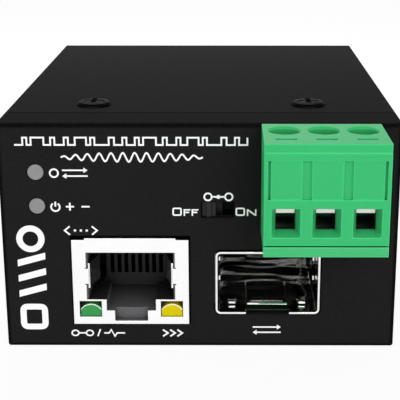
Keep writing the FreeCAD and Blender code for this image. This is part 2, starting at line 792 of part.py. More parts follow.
def sfp_cage():
    """Folded sheet tube with a latch tongue in its floor, inward guide tabs and an open rear floor."""
    half = cage_width / 2
    outer = rounded_tube(about(port_x, cage_width), (cage_front, cage_back), (cage_bottom, cage_top),
                         cage_round)
    inner = rounded_tube(about(port_x, cage_width - 2 * cage_sheet),
                         (cage_front - 1, cage_back - cage_sheet),
                         (cage_bottom + cage_sheet, cage_top - cage_sheet), cage_round - cage_sheet)
    tongue_start = latch_gap_depth + latch_tab_length
    slit = (latch_gap_width - latch_tab_width) / 2
    cuts = [cage_at((-latch_gap_width / 2, latch_gap_width / 2), (-1, latch_gap_depth), (-1, 1)),
            cage_at((-latch_gap_width / 2, -latch_gap_width / 2 + slit), (0, tongue_start), (-1, 1)),
            cage_at((latch_gap_width / 2 - slit, latch_gap_width / 2), (0, tongue_start), (-1, 1)),
            cage_at((latch_hole_margin - latch_tab_width / 2, latch_tab_width / 2 - latch_hole_margin),
                    (latch_gap_depth + latch_hole_margin,
                     latch_gap_depth + latch_hole_margin + latch_hole_depth), (-1, 1)),
            cage_at((-half + 2 * cage_sheet, half - 2 * cage_sheet),
                    (cage_length - cage_floor_opening, cage_length - cage_sheet), (-1, cage_sheet))]
    tabs = []
    start = cage_length * guide_tab_start
    for level in guide_tab_levels:
        z = (cage_height * level, cage_height * level + guide_tab_height)
        for side in (-1, 1):
            wall = side * (half - cage_sheet / 2)
            cuts.append(cage_at(tuple(sorted((side * (half + 1), side * (half - 1)))),
                                (start, start + guide_tab_length), z))
            path = [(port_x + wall, cage_front + start + guide_tab_length),
                    (port_x + wall - side * guide_tab_reach, cage_front + start + guide_tab_tip)]
            tabs.append(leaning_tab(path, cage_sheet, (cage_bottom + z[0] + guide_tab_slit,
                                                       cage_bottom + z[1] - guide_tab_slit)))
    sheet_z = cage_bottom + cage_sheet / 2
    lip_y = cage_front + latch_gap_depth
    lip = [(lip_y + latch_lip_length, sheet_z), (lip_y, sheet_z + latch_lip_rise)]
    tabs.append(bent_strip(lip, cage_sheet, "x", about(port_x, latch_tab_width)))
    cuts.append(cage_at((-latch_tab_width / 2, latch_tab_width / 2),
                        (latch_gap_depth, latch_gap_depth + latch_lip_length), (-1, 1)))
    catch_y = cage_front + floor_catch_start
    catch = [(catch_y + floor_catch_length, sheet_z), (catch_y, sheet_z + floor_catch_rise)]
    for side in (-1, 1):
        span = about(port_x + side * floor_catch_x, floor_catch_width)
        cuts.append(cage_at((span[0] - port_x, span[1] - port_x),
                            (floor_catch_start, floor_catch_start + floor_catch_length), (-1, 1)))
        inside = (span[0] + floor_catch_gap, span[1] - floor_catch_gap)
        tabs.append(bent_strip(catch, cage_sheet, "x", inside))
    return fuse_all([outer.cut(inner).cut(cuts)] + tabs)


def leaning_tab(path, thick, z):
    """A flat tab that stands upright along an (x, y) line."""
    sides = strip_outline(path, thick)
    outline = [Vector(x, y, z[0]) for x, y in sides[0] + sides[1][::-1]]
    return Part.Face(Part.makePolygon(outline + outline[:1])).extrude(Vector(0, 0, z[1] - z[0]))


def finger_row(count, span, thick_path):
    """Low X of each spring finger in a row spread evenly over a span."""
    room = (span - count * thick_path) / (count + 1)
    return [-span / 2 + room + i * (thick_path + room) for i in range(count)]


def sfp_spring_collar():
    """Earthing collar wrapped round the cage, with bowed fingers that press on the panel's back."""
    half = cage_width / 2
    start = panel_back_y - cage_front + collar_setback
    middle = (cage_bottom + cage_top) / 2
    outer = rounded_tube(about(port_x, cage_width + 2 * collar_sheet),
                         (cage_front + start, cage_front + start + collar_length),
                         (cage_bottom, cage_top + collar_sheet), cage_round + collar_sheet)
    inner = rounded_tube(about(port_x, cage_width), (cage_front, cage_front + start + collar_length + 1),
                         (cage_bottom - 1, cage_top), cage_round)
    collar = outer.cut(inner)
    fingers = []
    near = cage_front + start - finger_overhang
    crest = near + finger_crest
    rear = cage_front + start + collar_length - finger_root
    skin = cage_top + collar_sheet / 2
    path = [(rear, skin), (crest, skin + finger_rise), (near, skin + finger_tip_rise)]
    for low in finger_row(top_finger_count, cage_width - 2 * cage_round, finger_width):
        fingers.append(bent_strip(path, collar_sheet, "x", (port_x + low, port_x + low + finger_width)))
    for side in (-1, 1):
        wall = port_x + side * (half + collar_sheet / 2)
        path = [(wall, rear), (wall + side * finger_rise, crest), (wall + side * finger_tip_rise, near)]
        for low in finger_row(side_finger_count, cage_height - 2 * cage_round, finger_width):
            fingers.append(leaning_tab(path, collar_sheet, (middle + low, middle + low + finger_width)))
    return fuse_all([collar] + fingers)


def host_place():
    """Low Y of the module connector, against the cage's rear wall."""
    return cage_back - cage_sheet - host_gap - host_depth


def sfp_connector():
    """Moulded connector at the rear of the cage, with the slot that takes the module's edge."""
    y = host_place()
    body = block(about(port_x, host_width), (y, y + host_depth), (cage_bottom, cage_bottom + host_height))
    low = cage_bottom + host_slot_low
    slot = block(about(port_x, host_slot_width), (y - 1, y + host_slot_depth), (low, low + host_slot_height))
    lead_in = block(about(port_x, host_slot_width + 2 * host_lead_in), (y - 1, y + host_lead_depth),
                    (low - host_lead_in, low + host_slot_height + host_lead_in))
    grooves = []
    for place in host_contact_places():
        x = about(port_x + place, host_contact_wide + 2 * host_groove_gap)
        grooves.append(block(x, (y + host_groove_start, y + host_slot_depth),
                             (low - host_groove_depth, low + host_slot_height + host_groove_depth)))
    return body.cut([slot, lead_in] + grooves)


def host_contact_places():
    """Contact centres across the module connector, from its middle."""
    return [(i - (host_contact_count - 1) / 2) * host_contact_pitch for i in range(host_contact_count)]


def sfp_contacts():
    """Two rows of contact blades in the connector's slot."""
    y = host_place()
    low = cage_bottom + host_slot_low
    blades = []
    for place in host_contact_places():
        x = about(port_x + place, host_contact_wide)
        for level, side in ((low, -1), (low + host_slot_height, 1)):
            path = [(y + host_slot_depth, level + side * host_blade_lift[0]),
                    (y + host_blade_start, level + side * host_blade_lift[1])]
            blades.append(bent_strip(path, host_contact_thick, "x", x))
    return blades


# ---------------------------------------------------------------- plug-in screw terminal
def terminal_header():
    """Moulded open-ended shroud on the power board: floor, roof and back, with keyways for the plug."""
    x = (terminal_x - tongue_half, terminal_x + tongue_half)
    body = block(x, (header_front, header_back_y), (power_top, header_top))
    bay = block((x[0] - 1, x[1] + 1), (header_front - 1, header_back_y - header_back),
                (power_top + header_wall, header_top - header_wall))
    keyways = [block(about(place, key_width + 2 * header_play),
                     (header_front - 1, header_back_y - header_back),
                     (header_top - header_wall - overlap, header_top + 1)) for place in pole_places]
    shafts = [block(about(place, pin_side), (header_back_y - header_back - 1, header_back_y + 1),
                    about(wire_z, pin_side)) for place in pole_places]
    return body.cut([bay] + keyways + shafts)


def header_pins():
    """Square pins through the shroud's back, bent down to the power board."""
    rear = header_back_y + pin_bend_out
    path = [(header_front + pin_tip_back, wire_z), (rear, wire_z), (rear, power_top)]
    return [bent_strip(path, pin_side, "x", about(place, pin_side)) for place in pole_places]


def funnel(x):
    """Tapered wire entry, from the plug's front face to the straight entry behind it."""
    def ring(width, height, y):
        left, right = about(x, width)
        low, high = about(wire_z, height)
        return Part.makePolygon([Vector(left, y, low), Vector(right, y, low), Vector(right, y, high),
                                 Vector(left, y, high), Vector(left, y, low)])

    slope = (funnel_width - entry_width) / funnel_depth
    rise = (funnel_height - entry_height) / funnel_depth
    return Part.makeLoft([ring(funnel_width + slope, funnel_height + rise, plug_front - 1),
                          ring(entry_width, entry_height, plug_front + funnel_depth)], True, True)


def plug_housing():
    """Moulded plug body: a stepped block with three wire cells, screw bores and a mating tongue."""
    sides = (terminal_x - plug_half, terminal_x + plug_half)
    past = (sides[0] - 1, sides[1] + 1)
    body = block(sides, (plug_front, header_front), (lid_top, plug_top))
    body = fillet_where(body, plug_round, lambda edge: runs_along(edge, "x")
                        and edge.BoundBox.YMax < plug_front + 1e-6 and edge.BoundBox.ZMin > plug_top - 1e-6)
    tongue = block((terminal_x - tongue_half, terminal_x + tongue_half), (header_front, tongue_end),
                   (tongue_low, tongue_high))
    keys = [block(about(place, key_width), (header_front, tongue_end - key_end),
                  (tongue_high, tongue_high + key_height)) for place in pole_places]
    cuts = [block(past, (plug_front - 1, plug_front + brow_depth), (plug_top - brow_height, plug_top + 1)),
            block(past, (plug_front - 1, plug_front + marker_depth), (lid_top, lid_top + lid_groove))]
    edges = [place + side * marker_width / 2 for place in pole_places for side in (-1, 1)]
    edges = [edges[0] - end_groove] + edges + [edges[-1] + end_groove]
    marker_z = (plug_bottom + marker_low, plug_bottom + marker_high)
    cuts.append(block((edges[0], edges[-1]), (plug_front - 1, plug_front + pad_depth), marker_z))
    for left, right in zip(edges[::2], edges[1::2]):
        cuts.append(block((left, right), (plug_front - 1, plug_front + marker_depth), marker_z))
    for place in pole_places:
        cuts.append(funnel(place))
        cuts.append(block(about(place, entry_width),
                          (plug_front + funnel_depth - overlap, cell_front + overlap),
                          about(wire_z, entry_height)))
        cuts.append(block(about(place, 2 * cell_half), (cell_front, cell_back), (lid_top - 1, cell_top)))
        cuts.append(upright(place, screw_y, clear_radius, (cell_top - overlap, shelf_top + overlap)))
        cuts.append(upright(place, screw_y, bore_radius, (shelf_top, plug_top + 1)))
        cuts.append(Part.makeCone(bore_radius, bore_radius + bore_chamfer, bore_chamfer,
                                  Vector(place, screw_y, plug_top - bore_chamfer)))
        cuts.append(block(about(place, bar_wide + 2 * leaf_gap), (cell_back - overlap, tongue_end + 1),
                          (wire_z - pin_side / 2 - leaf_gap - leaf_thick - leaf_gap, bar_high + leaf_gap)))
        cuts.append(block(about(place, probe_width), about(plug_front + probe_setback, probe_length),
                          (plug_top - probe_depth, plug_top + 1)))
    return fuse_all([body, tongue] + keys).cut(cuts)


def plug_base():
    """Lid snapped under the plug's body, closing the three wire cells from below."""
    return block((terminal_x - plug_half, terminal_x + plug_half), (plug_front, header_front),
                 (plug_bottom, lid_top))


def plug_contacts():
    """Current bars: each runs through its clamp and ends in two leaves that take a header pin."""
    contacts = []
    front = cell_front + bar_front
    web = cell_back + socket_web_gap
    end = tongue_end - socket_end
    upper = wire_z + pin_side / 2 + leaf_gap
    lower = wire_z - pin_side / 2 - leaf_gap
    for place in pole_places:
        x = about(place, bar_wide)
        contacts.append(fuse_all([
            block(x, (front, end), (bar_low, bar_high)),
            block(x, (web, end), (upper, bar_low)),
            block(x, (web, end), (lower - leaf_thick, lower)),
            block(x, (web, web + socket_web), (lower - leaf_thick, bar_low))]))
    return contacts


def clamp_screw(place):
    """Slotted clamp screw, turning in place on its shelf."""
    seat = shelf_top + screw_seat_gap
    head = upright(place, screw_y, screw_head_radius, (seat, seat + screw_head_height))
    body = upright(place, screw_y, thread_radius, (bar_high + screw_end_gap, seat))
    slot = block(about(place, 2 * screw_head_radius + 1), about(screw_y, screw_slot_width),
                 (seat + screw_head_height - screw_slot_depth, seat + screw_head_height + 1))
    return fuse_all([head, body]).cut(slot)


def clamp_cage(place):
    """Rising clamp: a rectangular loop round the current bar, tapped in its top wall."""
    y = about(screw_y, clamp_depth)
    loop = block(about(place, clamp_width), y, (clamp_outer_low, clamp_outer_top))
    window = block(about(place, clamp_width - 2 * clamp_wall), (y[0] - 1, y[1] + 1),
                   (clamp_inner_low, clamp_inner_top))
    tapped = upright(place, screw_y, tapped_radius, (clamp_inner_top - overlap, clamp_outer_top + 1))
    return loop.cut([window, tapped])


# ---------------------------------------------------------------- slide switch and lights
def switch_inside():
    """The hollow that the slider runs in, as X, Y and Z spans."""
    low = knob_left - slider_play - knob_width / 2
    return ((low, low + 2 * knob_width + knob_travel + 2 * slider_play),
            (switch_front + switch_wall, switch_front + switch_body_depth - switch_wall),
            (power_top + switch_wall, power_top + switch_body_height - switch_wall))


def switch_frame():
    """Body of the slide switch, on the power board's front edge."""
    x, y, z = switch_inside()
    middle = sum(x) / 2
    body = block(about(middle, switch_body_width), (switch_front, switch_front + switch_body_depth),
                 (power_top, power_top + switch_body_height))
    mouth = block(about(switch_x, slot_width), (switch_front - 1, y[0] + overlap), about(knob_z, slot_height))
    return body.cut([block(x, y, z), mouth])


def switch_knob():
    """Slider with its stepped, ribbed knob; it moves to the right for on."""
    x, y, z = switch_inside()
    inner = block((knob_left - knob_width / 2, knob_left + knob_width * 1.5),
                  (y[0] + slider_play, y[1] - slider_play), (z[0] + slider_play, z[1] - slider_play))
    tip = front_y + knob_recess
    height = about(knob_z, slot_height - 2 * knob_play)
    stem = block((knob_left, knob_left + knob_width), (tip + knob_step, y[0] + slider_play), height)
    rib = block(about(knob_left + knob_width / 2, knob_rib), (tip, tip + knob_step), height)
    return fuse_all([inner, stem, rib])


def indicator_block():
    """Black holder that stacks the two lights at the board's front edge."""
    front = panel_back_y + light_flange_length
    y = (front + switch_gap, front + light_block_depth)
    body = block(about(light_x, light_block_width), y, (power_top, light_places[-1] + light_block_margin))
    return body.cut([lengthwise(light_x, z, light_flange, (y[0] - 1, panel_back_y + light_body_length))
                     for z in light_places])


def indicator_light(z):
    """Light with a straight nose through the panel and a wider body in the holder."""
    nose = lengthwise(light_x, z, light_radius, (front_y, panel_back_y + switch_gap))
    body = lengthwise(light_x, z, light_flange, (panel_back_y + switch_gap, panel_back_y + light_body_length))
    return fuse_all([nose, body])


def indicator_leads():
    """Two leads from each light, out of the holder's back and down to the power board."""
    leads = []
    back = panel_back_y + light_flange_length + light_block_depth
    for level, z in enumerate(light_places):
        rear = back + lead_bend_out + level * lead_row_gap
        path = [(back, z), (rear, z), (rear, power_top)]
        for side in (-1, 1):
            leads.append(bent_strip(path, lead_side, "x", about(light_x + side * lead_spread, lead_side)))
    return leads


# ---------------------------------------------------------------- parts on the boards
link_x = -10.0
link_y = 21.0
link_pitch = 2.54
link_column_count = 5
link_width = 5.0
link_socket_height = 8.5
link_pin_side = 0.64
link_hole_side = 0.9
link_hole_floor = 1.0
link_pin_gap = 3.0       # the pins stop this far above the main board


def link_socket():
    """Socket strip on the main board that takes the power board's pins."""
    body = block(about(link_x, link_column_count * link_pitch), about(link_y, link_width),
                 (main_top, main_top + link_socket_height))
    holes = [block(about(x, link_hole_side), about(y, link_hole_side),
                   (main_top + link_hole_floor, main_top + link_socket_height + 1))
             for x, y in link_places()]
    return body.cut(holes)


def link_places():
    """Pin centres of the board-to-board connector."""
    return [(link_x + (i - (link_column_count - 1) / 2) * link_pitch, link_y + side * link_pitch / 2)
            for i in range(link_column_count) for side in (-1, 1)]


def link_header():
    """Insulator strip under the power board."""
    body = block(about(link_x, link_column_count * link_pitch), about(link_y, link_width),
                 (main_top + link_socket_height, power_bottom))
    return body.cut([block(about(x, link_pin_side), about(y, link_pin_side), (main_top, power_bottom + 1))
                     for x, y in link_places()])


def link_pins():
    """Square pins, from inside the socket up to the power board."""
    return [block(about(x, link_pin_side), about(y, link_pin_side), (main_top + link_pin_gap, power_bottom))
            for x, y in link_places()]


transformer_size = (14.0, 7.2, 5.6)
transformer_gap = 3.0    # behind the network socket
transformer_place = (-8.0, jack_back + transformer_gap + transformer_size[1] / 2)
chip_size = (9.0, 9.0, 1.2)
chip_gap = 3.5           # behind the transformer
chip_place = (-10.5, transformer_place[1] + (transformer_size[1] + chip_size[1]) / 2 + chip_gap)
crystal_size = (11.0, 4.6, 3.6)
crystal_place = (2.0, 24.0)
inductor_size = (10.0, 10.0, 4.8)
inductor_place = (-6.0, -4.0)
capacitor_radius = 4.0
can_headroom = 2.0       # from the cans to the cover
can_chamfer = 0.45
can_groove = 0.35
can_groove_height = 1.9  # middle of the rolled groove above the board
capacitor_places = ((-14.0, 7.0), (-4.0, 7.0), (6.0, 7.0))
bridge_size = (8.2, 6.4, 2.6)
bridge_gap = 6.0         # behind the terminal's shroud
bridge_place = (12.0, header_back_y + bridge_gap + bridge_size[1] / 2)
bridge_pitch = 5.08
power_chip_size = (5.0, 4.0, 1.6)
power_chip_gap = 3.8     # behind the bridge
power_chip_place = (14.5, bridge_place[1] + (bridge_size[1] + power_chip_size[1]) / 2 + power_chip_gap)
fuse_size = (8.4, 4.2, 7.2)
fuse_place = (17.0, 8.0)
lead_reach = (0.2, 0.45, 0.6, 1.1)   # a lead's root, shoulder, heel and toe from the body's side
lead_thick = 0.25
lead_wide = 0.4
package_lift = 0.15
package_chamfer = 0.2
package_waist = 0.45     # the leads' height as a share of the package's
crystal_round = 0.45     # end radius as a share of the can's width
inductor_chamfer = 1.6
core_radii = (0.34, 0.40)    # round the core's face, as shares of the inductor's width
core_depth = 0.4
fuse_round = 0.6


def chip(place, size, board_top, count, pitch):
    """Moulded package with a chamfered top, standing on gull-wing leads on its two long sides."""
    foot = board_top + package_lift
    crown = foot + size[2]
    body = block(about(place[0], size[0]), about(place[1], size[1]), (foot, crown))
    rim = [edge for edge in body.Edges if edge.BoundBox.ZMin > crown - 1e-6]
    body = body.makeChamfer(package_chamfer, rim)
    waist = foot + size[2] * package_waist
    rest = board_top + lead_thick / 2
    root, shoulder, heel, toe = lead_reach
    leads = []
    for side in (-1, 1):
        edge = place[1] + side * size[1] / 2
        path = [(edge - side * root, waist), (edge + side * shoulder, waist), (edge + side * heel, rest),
                (edge + side * toe, rest)]
        for i in range(count):
            centre = place[0] + (i - (count - 1) / 2) * pitch
            leads.append(bent_strip(path, lead_thick, "x", about(centre, lead_wide)))
    return fuse_all([body] + leads)


def clock_crystal():
    """Drawn metal can with rounded ends."""
    x, y = about(crystal_place[0], crystal_size[0]), about(crystal_place[1], crystal_size[1])
    can = block(x, y, (main_top, main_top + crystal_size[2]))
    return fillet_where(can, crystal_size[1] * crystal_round, lambda edge: runs_along(edge, "z"))


def power_inductor():
    """Shielded coil: a square block with cut corners and a round core face."""
    x, y = about(inductor_place[0], inductor_size[0]), about(inductor_place[1], inductor_size[1])
    top = power_top + inductor_size[2]
    shell = block(x, y, (power_top, top))
    shell = shell.makeChamfer(inductor_chamfer, [edge for edge in shell.Edges if runs_along(edge, "z")])
    inner, outer = [upright(inductor_place[0], inductor_place[1], inductor_size[0] * share,
                            (top - core_depth, top + 1)) for share in core_radii]
    ring = outer.cut(inner)
    return shell.cut(ring)


def smoothing_capacitors():
    """Electrolytic cans with a rolled groove near the foot."""
    cans = []
    crown = inner_top - can_headroom
    shoulder = crown - can_chamfer
    waist = power_top + can_groove_height
    inner = capacitor_radius - can_groove
    for x, y in capacitor_places:
        cans.append(fuse_all([
            upright(x, y, capacitor_radius, (power_top, waist - can_groove)),
            Part.makeCone(capacitor_radius, inner, can_groove, Vector(x, y, waist - can_groove)),
            Part.makeCone(inner, capacitor_radius, can_groove, Vector(x, y, waist)),
            upright(x, y, capacitor_radius, (waist + can_groove, shoulder)),
            Part.makeCone(capacitor_radius, capacitor_radius - can_chamfer, can_chamfer,
                          Vector(x, y, shoulder))]))
    return cans


def input_fuse():
    """Boxed fuse beside the terminal's pins."""
    x, y = about(fuse_place[0], fuse_size[0]), about(fuse_place[1], fuse_size[1])
    body = block(x, y, (power_top, power_top + fuse_size[2]))
    return fillet_where(body, fuse_round, lambda edge: runs_along(edge, "z"))


# ---------------------------------------------------------------- the assembly
os.makedirs("parts", exist_ok=True)
save("front_panel", front_panel())
save("base_tray", base_tray())
save("top_cover", top_cover())
save("cover_screws", *cover_screws())
save("base_screws", *base_screws())
save("clip_nuts", *clip_nuts())
save("main_board", main_board())
save("power_board", board(power_bottom))
save("board_standoffs", *board_standoffs())
save("board_spacers", *board_spacers())
save("board_screws", *board_screws())
save("jack_shield", jack_shield())
save("jack_housing", jack_housing())
save("jack_contacts", *jack_contacts())
save("jack_green_light", jack_light(-1))
save("jack_yellow_light", jack_light(1))
save("sfp_cage", sfp_cage())
save("sfp_spring_collar", sfp_spring_collar())
save("sfp_connector", sfp_connector())
save("sfp_contacts", *sfp_contacts())
save("terminal_header", terminal_header())
save("header_pins", *header_pins())
save("switch_frame", switch_frame())
save("switch_knob", switch_knob())
save("indicator_block", indicator_block())
save("indicator_leads", *indicator_leads())
save("power_light", indicator_light(light_places[0]))
save("fibre_light", indicator_light(light_places[1]))
save("link_socket", link_socket())
save("link_header", link_header())
save("link_pins", *link_pins())
save("lan_transformer", chip(transformer_place, transformer_size, main_top, 8, 1.5))
save("converter_chip", chip(chip_place, chip_size, main_top, 10, 0.8))
save("clock_crystal", clock_crystal())
save("power_inductor", power_inductor())
save("smoothing_capacitors", *smoothing_capacitors())
save("polarity_bridge", chip(bridge_place, bridge_size, power_top, 2, bridge_pitch))
save("power_chip", chip(power_chip_place, power_chip_size, power_top, 4, 1.27))
save("input_fuse", input_fuse())
save("plug_housing", plug_housing())
save("plug_base", plug_base())
save("plug_contacts", *plug_contacts())
for number, place in enumerate(pole_places, 1):
    save("clamp_screw_%d" % number, clamp_screw(place))
    save("clamp_cage_%d" % number, clamp_cage(place))
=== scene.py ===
# A small black steel media converter: network socket, optical module port, plug-in screw terminal,
# slide switch and two indicator lights, standing on a pale studio floor.
import math
import bmesh
import bpy
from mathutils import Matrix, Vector


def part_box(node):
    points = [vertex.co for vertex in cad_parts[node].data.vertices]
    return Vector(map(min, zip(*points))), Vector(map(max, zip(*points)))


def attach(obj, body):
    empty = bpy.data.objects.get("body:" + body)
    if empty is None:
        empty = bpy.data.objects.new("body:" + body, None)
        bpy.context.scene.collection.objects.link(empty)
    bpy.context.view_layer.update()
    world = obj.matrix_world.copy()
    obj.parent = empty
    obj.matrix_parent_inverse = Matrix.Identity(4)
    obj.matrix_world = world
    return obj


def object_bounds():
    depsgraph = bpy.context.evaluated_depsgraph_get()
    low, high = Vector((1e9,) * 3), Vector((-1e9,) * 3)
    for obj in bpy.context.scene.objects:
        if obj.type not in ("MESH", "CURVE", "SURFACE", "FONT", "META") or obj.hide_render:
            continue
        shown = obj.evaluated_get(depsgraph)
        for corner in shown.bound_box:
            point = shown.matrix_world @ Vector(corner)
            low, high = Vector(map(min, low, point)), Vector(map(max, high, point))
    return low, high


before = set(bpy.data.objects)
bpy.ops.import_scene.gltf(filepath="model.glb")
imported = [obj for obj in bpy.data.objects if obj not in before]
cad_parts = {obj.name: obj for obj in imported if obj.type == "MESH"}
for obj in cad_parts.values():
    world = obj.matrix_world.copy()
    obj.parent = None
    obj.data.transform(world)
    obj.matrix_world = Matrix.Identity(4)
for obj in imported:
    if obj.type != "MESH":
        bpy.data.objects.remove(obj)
cad_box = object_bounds()

# ---------------------------------------------------------------- camera
# A lens a little longer than a portrait one, raised above the case's top and tilted down at its
# sockets. A little shift keeps the upright edges of the front panel nearly parallel.
camera_data = bpy.data.cameras.new("studio_camera")
camera_data.sensor_width = 36.0
camera_data.lens = 93.5
camera_data.shift_x = -0.061
camera_data.shift_y = -0.1
camera_data.clip_start = 0.005
tilt_down, turn_left = math.radians(15.61), math.radians(0.19)
camera = bpy.data.objects.new("studio_camera", camera_data)
camera.location = (0.0038, -0.1646, 0.0644)
camera.rotation_euler = (math.pi / 2 - tilt_down, 0.0, turn_left)
bpy.context.scene.collection.objects.link(camera)
bpy.context.scene.camera = camera


# ---------------------------------------------------------------- base tray
# The tray is 0.8 mm mild steel, laser cut, folded up on three sides and powder coated black.
# Two clinch nuts are pressed into its rear wall and two thin countersunk screws hold the panel's tab.
def srgb(red, green, blue):
    """A colour given as 0 to 255 screen values, as the shader wants it."""
    return (*[c / 255 / 12.92 if c <= 10 else ((c / 255 + 0.055) / 1.055) ** 2.4
              for c in (red, green, blue)], 1.0)


def put(tree, kind, inputs=None, **settings):
    """Places one shader node, with its settings, its values and what its sockets are joined to."""
    made = tree.nodes.new(kind)
    for name, value in settings.items():
        setattr(made, name, value)
    for name, value in (inputs or {}).items():
        socket = made.inputs[name]
        if isinstance(value, bpy.types.NodeSocket):
            tree.links.new(value, socket)
        else:
            socket.default_value = value
    return made


def new_effect(name, takes, gives):
    """An empty node group with named inputs and outputs, and its two end nodes."""
    group = bpy.data.node_groups.new(name, "ShaderNodeTree")
    for label, value in takes.items():
        kind = "NodeSocketColor" if isinstance(value, tuple) else "NodeSocketFloat"
        group.interface.new_socket(label, in_out="INPUT", socket_type=kind).default_value = value
    for label, kind in gives.items():
        group.interface.new_socket(label, in_out="OUTPUT", socket_type="NodeSocket" + kind)
    return group, group.nodes.new("NodeGroupInput").outputs, group.nodes.new("NodeGroupOutput").inputs


def ramp(tree, value, start, end, low=0.0, high=1.0):
    """Goes from low to high while a value goes from start to end, and stays level beyond them."""
    return put(tree, "ShaderNodeMapRange", {"Value": value, "From Min": start, "From Max": end,
                                            "To Min": low, "To Max": high}).outputs["Result"]


def softened_edge(tree, radius):
    """The surface's normal with its corners rounded, and a mask that is 1 along those corners."""
    rounded = put(tree, "ShaderNodeBevel", {"Radius": radius}, samples=6)
    flat = put(tree, "ShaderNodeNewGeometry")
    match = put(tree, "ShaderNodeVectorMath", {0: rounded.outputs["Normal"], 1: flat.outputs["Normal"]},
                operation="DOT_PRODUCT")
    return rounded.outputs["Normal"], ramp(tree, match.outputs["Value"], 0.995, 0.80)


def normal_axis(tree, axis):
    """How much the flat surface faces along one axis."""
    normal = put(tree, "ShaderNodeNewGeometry").outputs["Normal"]
    return put(tree, "ShaderNodeSeparateXYZ", {0: normal}).outputs[axis]


def calc(tree, operation, *values, **settings):
    """One step of arithmetic on shader values."""
    return put(tree, "ShaderNodeMath", dict(enumerate(values)), operation=operation,
               **settings).outputs["Value"]


def toned(tree, colour, gain):
    """A colour made lighter or darker by a value."""
    return put(tree, "ShaderNodeVectorMath", {0: colour, "Scale": gain}, operation="SCALE").outputs["Vector"]


# Every piece here is dry and hard, so one effect serves them all: a fine grain in the surface, a slow
# change of tone over it, and painted light at corners and bends: a painted highlight or painted shade
# that makes them lighter or darker than the faces, as each finish's values set.
surface_effect, takes, gives = new_effect(
    "Grain_and_painted_edge_light",
    {"Color": (0.5, 0.5, 0.5, 1.0), "Grain per metre": 4000.0, "Grain depth": 0.00001, "Grain tone": 0.1,
     "Cloud per metre": 150.0, "Cloud tone": 0.06, "Edge radius": 0.0002, "Edge painted light": 0.2,
     "Bend painted shade": 0.0, "Roughness": 0.5, "Roughness spread": 0.08},
    {"Color": "Color", "Roughness": "Float", "Normal": "Vector", "Edge": "Float"})
spot = put(surface_effect, "ShaderNodeTexCoord").outputs["Object"]
grain = put(surface_effect, "ShaderNodeTexNoise", {"Vector": spot, "Scale": takes["Grain per metre"],
                                                   "Detail": 2.0, "Roughness": 0.55}).outputs["Fac"]
cloud = put(surface_effect, "ShaderNodeTexNoise", {"Vector": spot, "Scale": takes["Cloud per metre"],
                                                   "Detail": 3.0, "Roughness": 0.6}).outputs["Fac"]
edge_normal, edge = softened_edge(surface_effect, takes["Edge radius"])
# a bend is where the surface faces along none of the three axes
squareness = [calc(surface_effect, "ABSOLUTE", normal_axis(surface_effect, axis)) for axis in "XYZ"]
squarest = calc(surface_effect, "MAXIMUM", calc(surface_effect, "MAXIMUM", *squareness[:2]), squareness[2])
bend = ramp(surface_effect, squarest, 0.995, 0.86)


def spread_about(tree, value, spread, centre):
    """Turns a 0 to 1 value into one that wanders about a centre by half a spread to each side."""
    swing = calc(tree, "ADD", value, -0.5)
    return calc(tree, "MULTIPLY_ADD", swing, spread, centre)


grain_gain = spread_about(surface_effect, grain, takes["Grain tone"], 1.0)
# painted shade: the colour is darkened at bends, where a folded sheet turns away from the light
bend_painted_shade = calc(surface_effect, "MULTIPLY", bend, takes["Bend painted shade"])
cloud_with_painted_bend_shade = spread_about(surface_effect, cloud, takes["Cloud tone"], bend_painted_shade)
# painted light along corners: a painted highlight for a positive edge value, painted shade for a negative one
grain_with_painted_edge_light = calc(surface_effect, "MULTIPLY_ADD", edge, takes["Edge painted light"], grain_gain)
gain = calc(surface_effect, "ADD", grain_with_painted_edge_light, cloud_with_painted_bend_shade)
bump = put(surface_effect, "ShaderNodeBump", {"Height": grain, "Distance": takes["Grain depth"],
                                              "Strength": 1.0, "Normal": edge_normal})
rough = spread_about(surface_effect, cloud, takes["Roughness spread"], takes["Roughness"])
for label, socket in (("Color", toned(surface_effect, takes["Color"], gain)), ("Edge", edge),
                      ("Normal", bump.outputs["Normal"]), ("Roughness", rough)):
    surface_effect.links.new(socket, gives[label])


def coated(name, colour, grain_values, **shader_values):
    """A material of the surface effect under a Principled shader, and the nodes that make it."""
    material = bpy.data.materials.new(name)
    material.use_nodes = True
    tree = material.node_tree
    tree.nodes.clear()
    effect = put(tree, "ShaderNodeGroup", node_tree=surface_effect)
    effect.inputs["Color"].default_value = colour
    for label, value in grain_values.items():
        effect.inputs[label].default_value = value
    labels = {label.replace("_", " "): value for label, value in shader_values.items()}
    shader = put(tree, "ShaderNodeBsdfPrincipled", labels)
    for source, target in (("Color", "Base Color"), ("Roughness", "Roughness"), ("Normal", "Normal")):
        tree.links.new(effect.outputs[source], shader.inputs[target])
    put(tree, "ShaderNodeOutputMaterial", {"Surface": shader.outputs["BSDF"]})
    return material, tree, effect, shader


def dress(material, *names):
    """Gives whole frame nodes one material."""
    for name in names:
        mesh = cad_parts[name].data
        mesh.materials.clear()
        mesh.materials.append(material)


def powder_coat(name, colour):
    """Black powder coat: a fine grain with almost no gloss, with painted shade round the sheet's bends and
    along its edges.
    """
    return coated(
        name, colour,
        {"Grain per metre": 2600.0, "Grain depth": 0.00003, "Grain tone": 0.5, "Cloud per metre": 90.0,
         "Cloud tone": 0.14, "Edge radius": 0.0004, "Edge painted light": -0.3, "Bend painted shade": -0.65,
         "Roughness": 0.45, "Roughness spread": 0.12}, Specular_IOR_Level=0.0004)[0]


powder_black = powder_coat("powder_coat_black", srgb(32, 32, 32))


def zinc_plate(name):
    """Bright zinc plate, slightly cloudy."""
    return coated(
        name, srgb(196, 196, 192),
        {"Grain per metre": 2600.0, "Grain depth": 0.000006, "Grain tone": 0.16, "Cloud per metre": 400.0,
         "Cloud tone": 0.14, "Edge radius": 0.0001, "Edge painted light": 0.1, "Roughness": 0.34,
         "Roughness spread": 0.16}, Metallic=1.0)


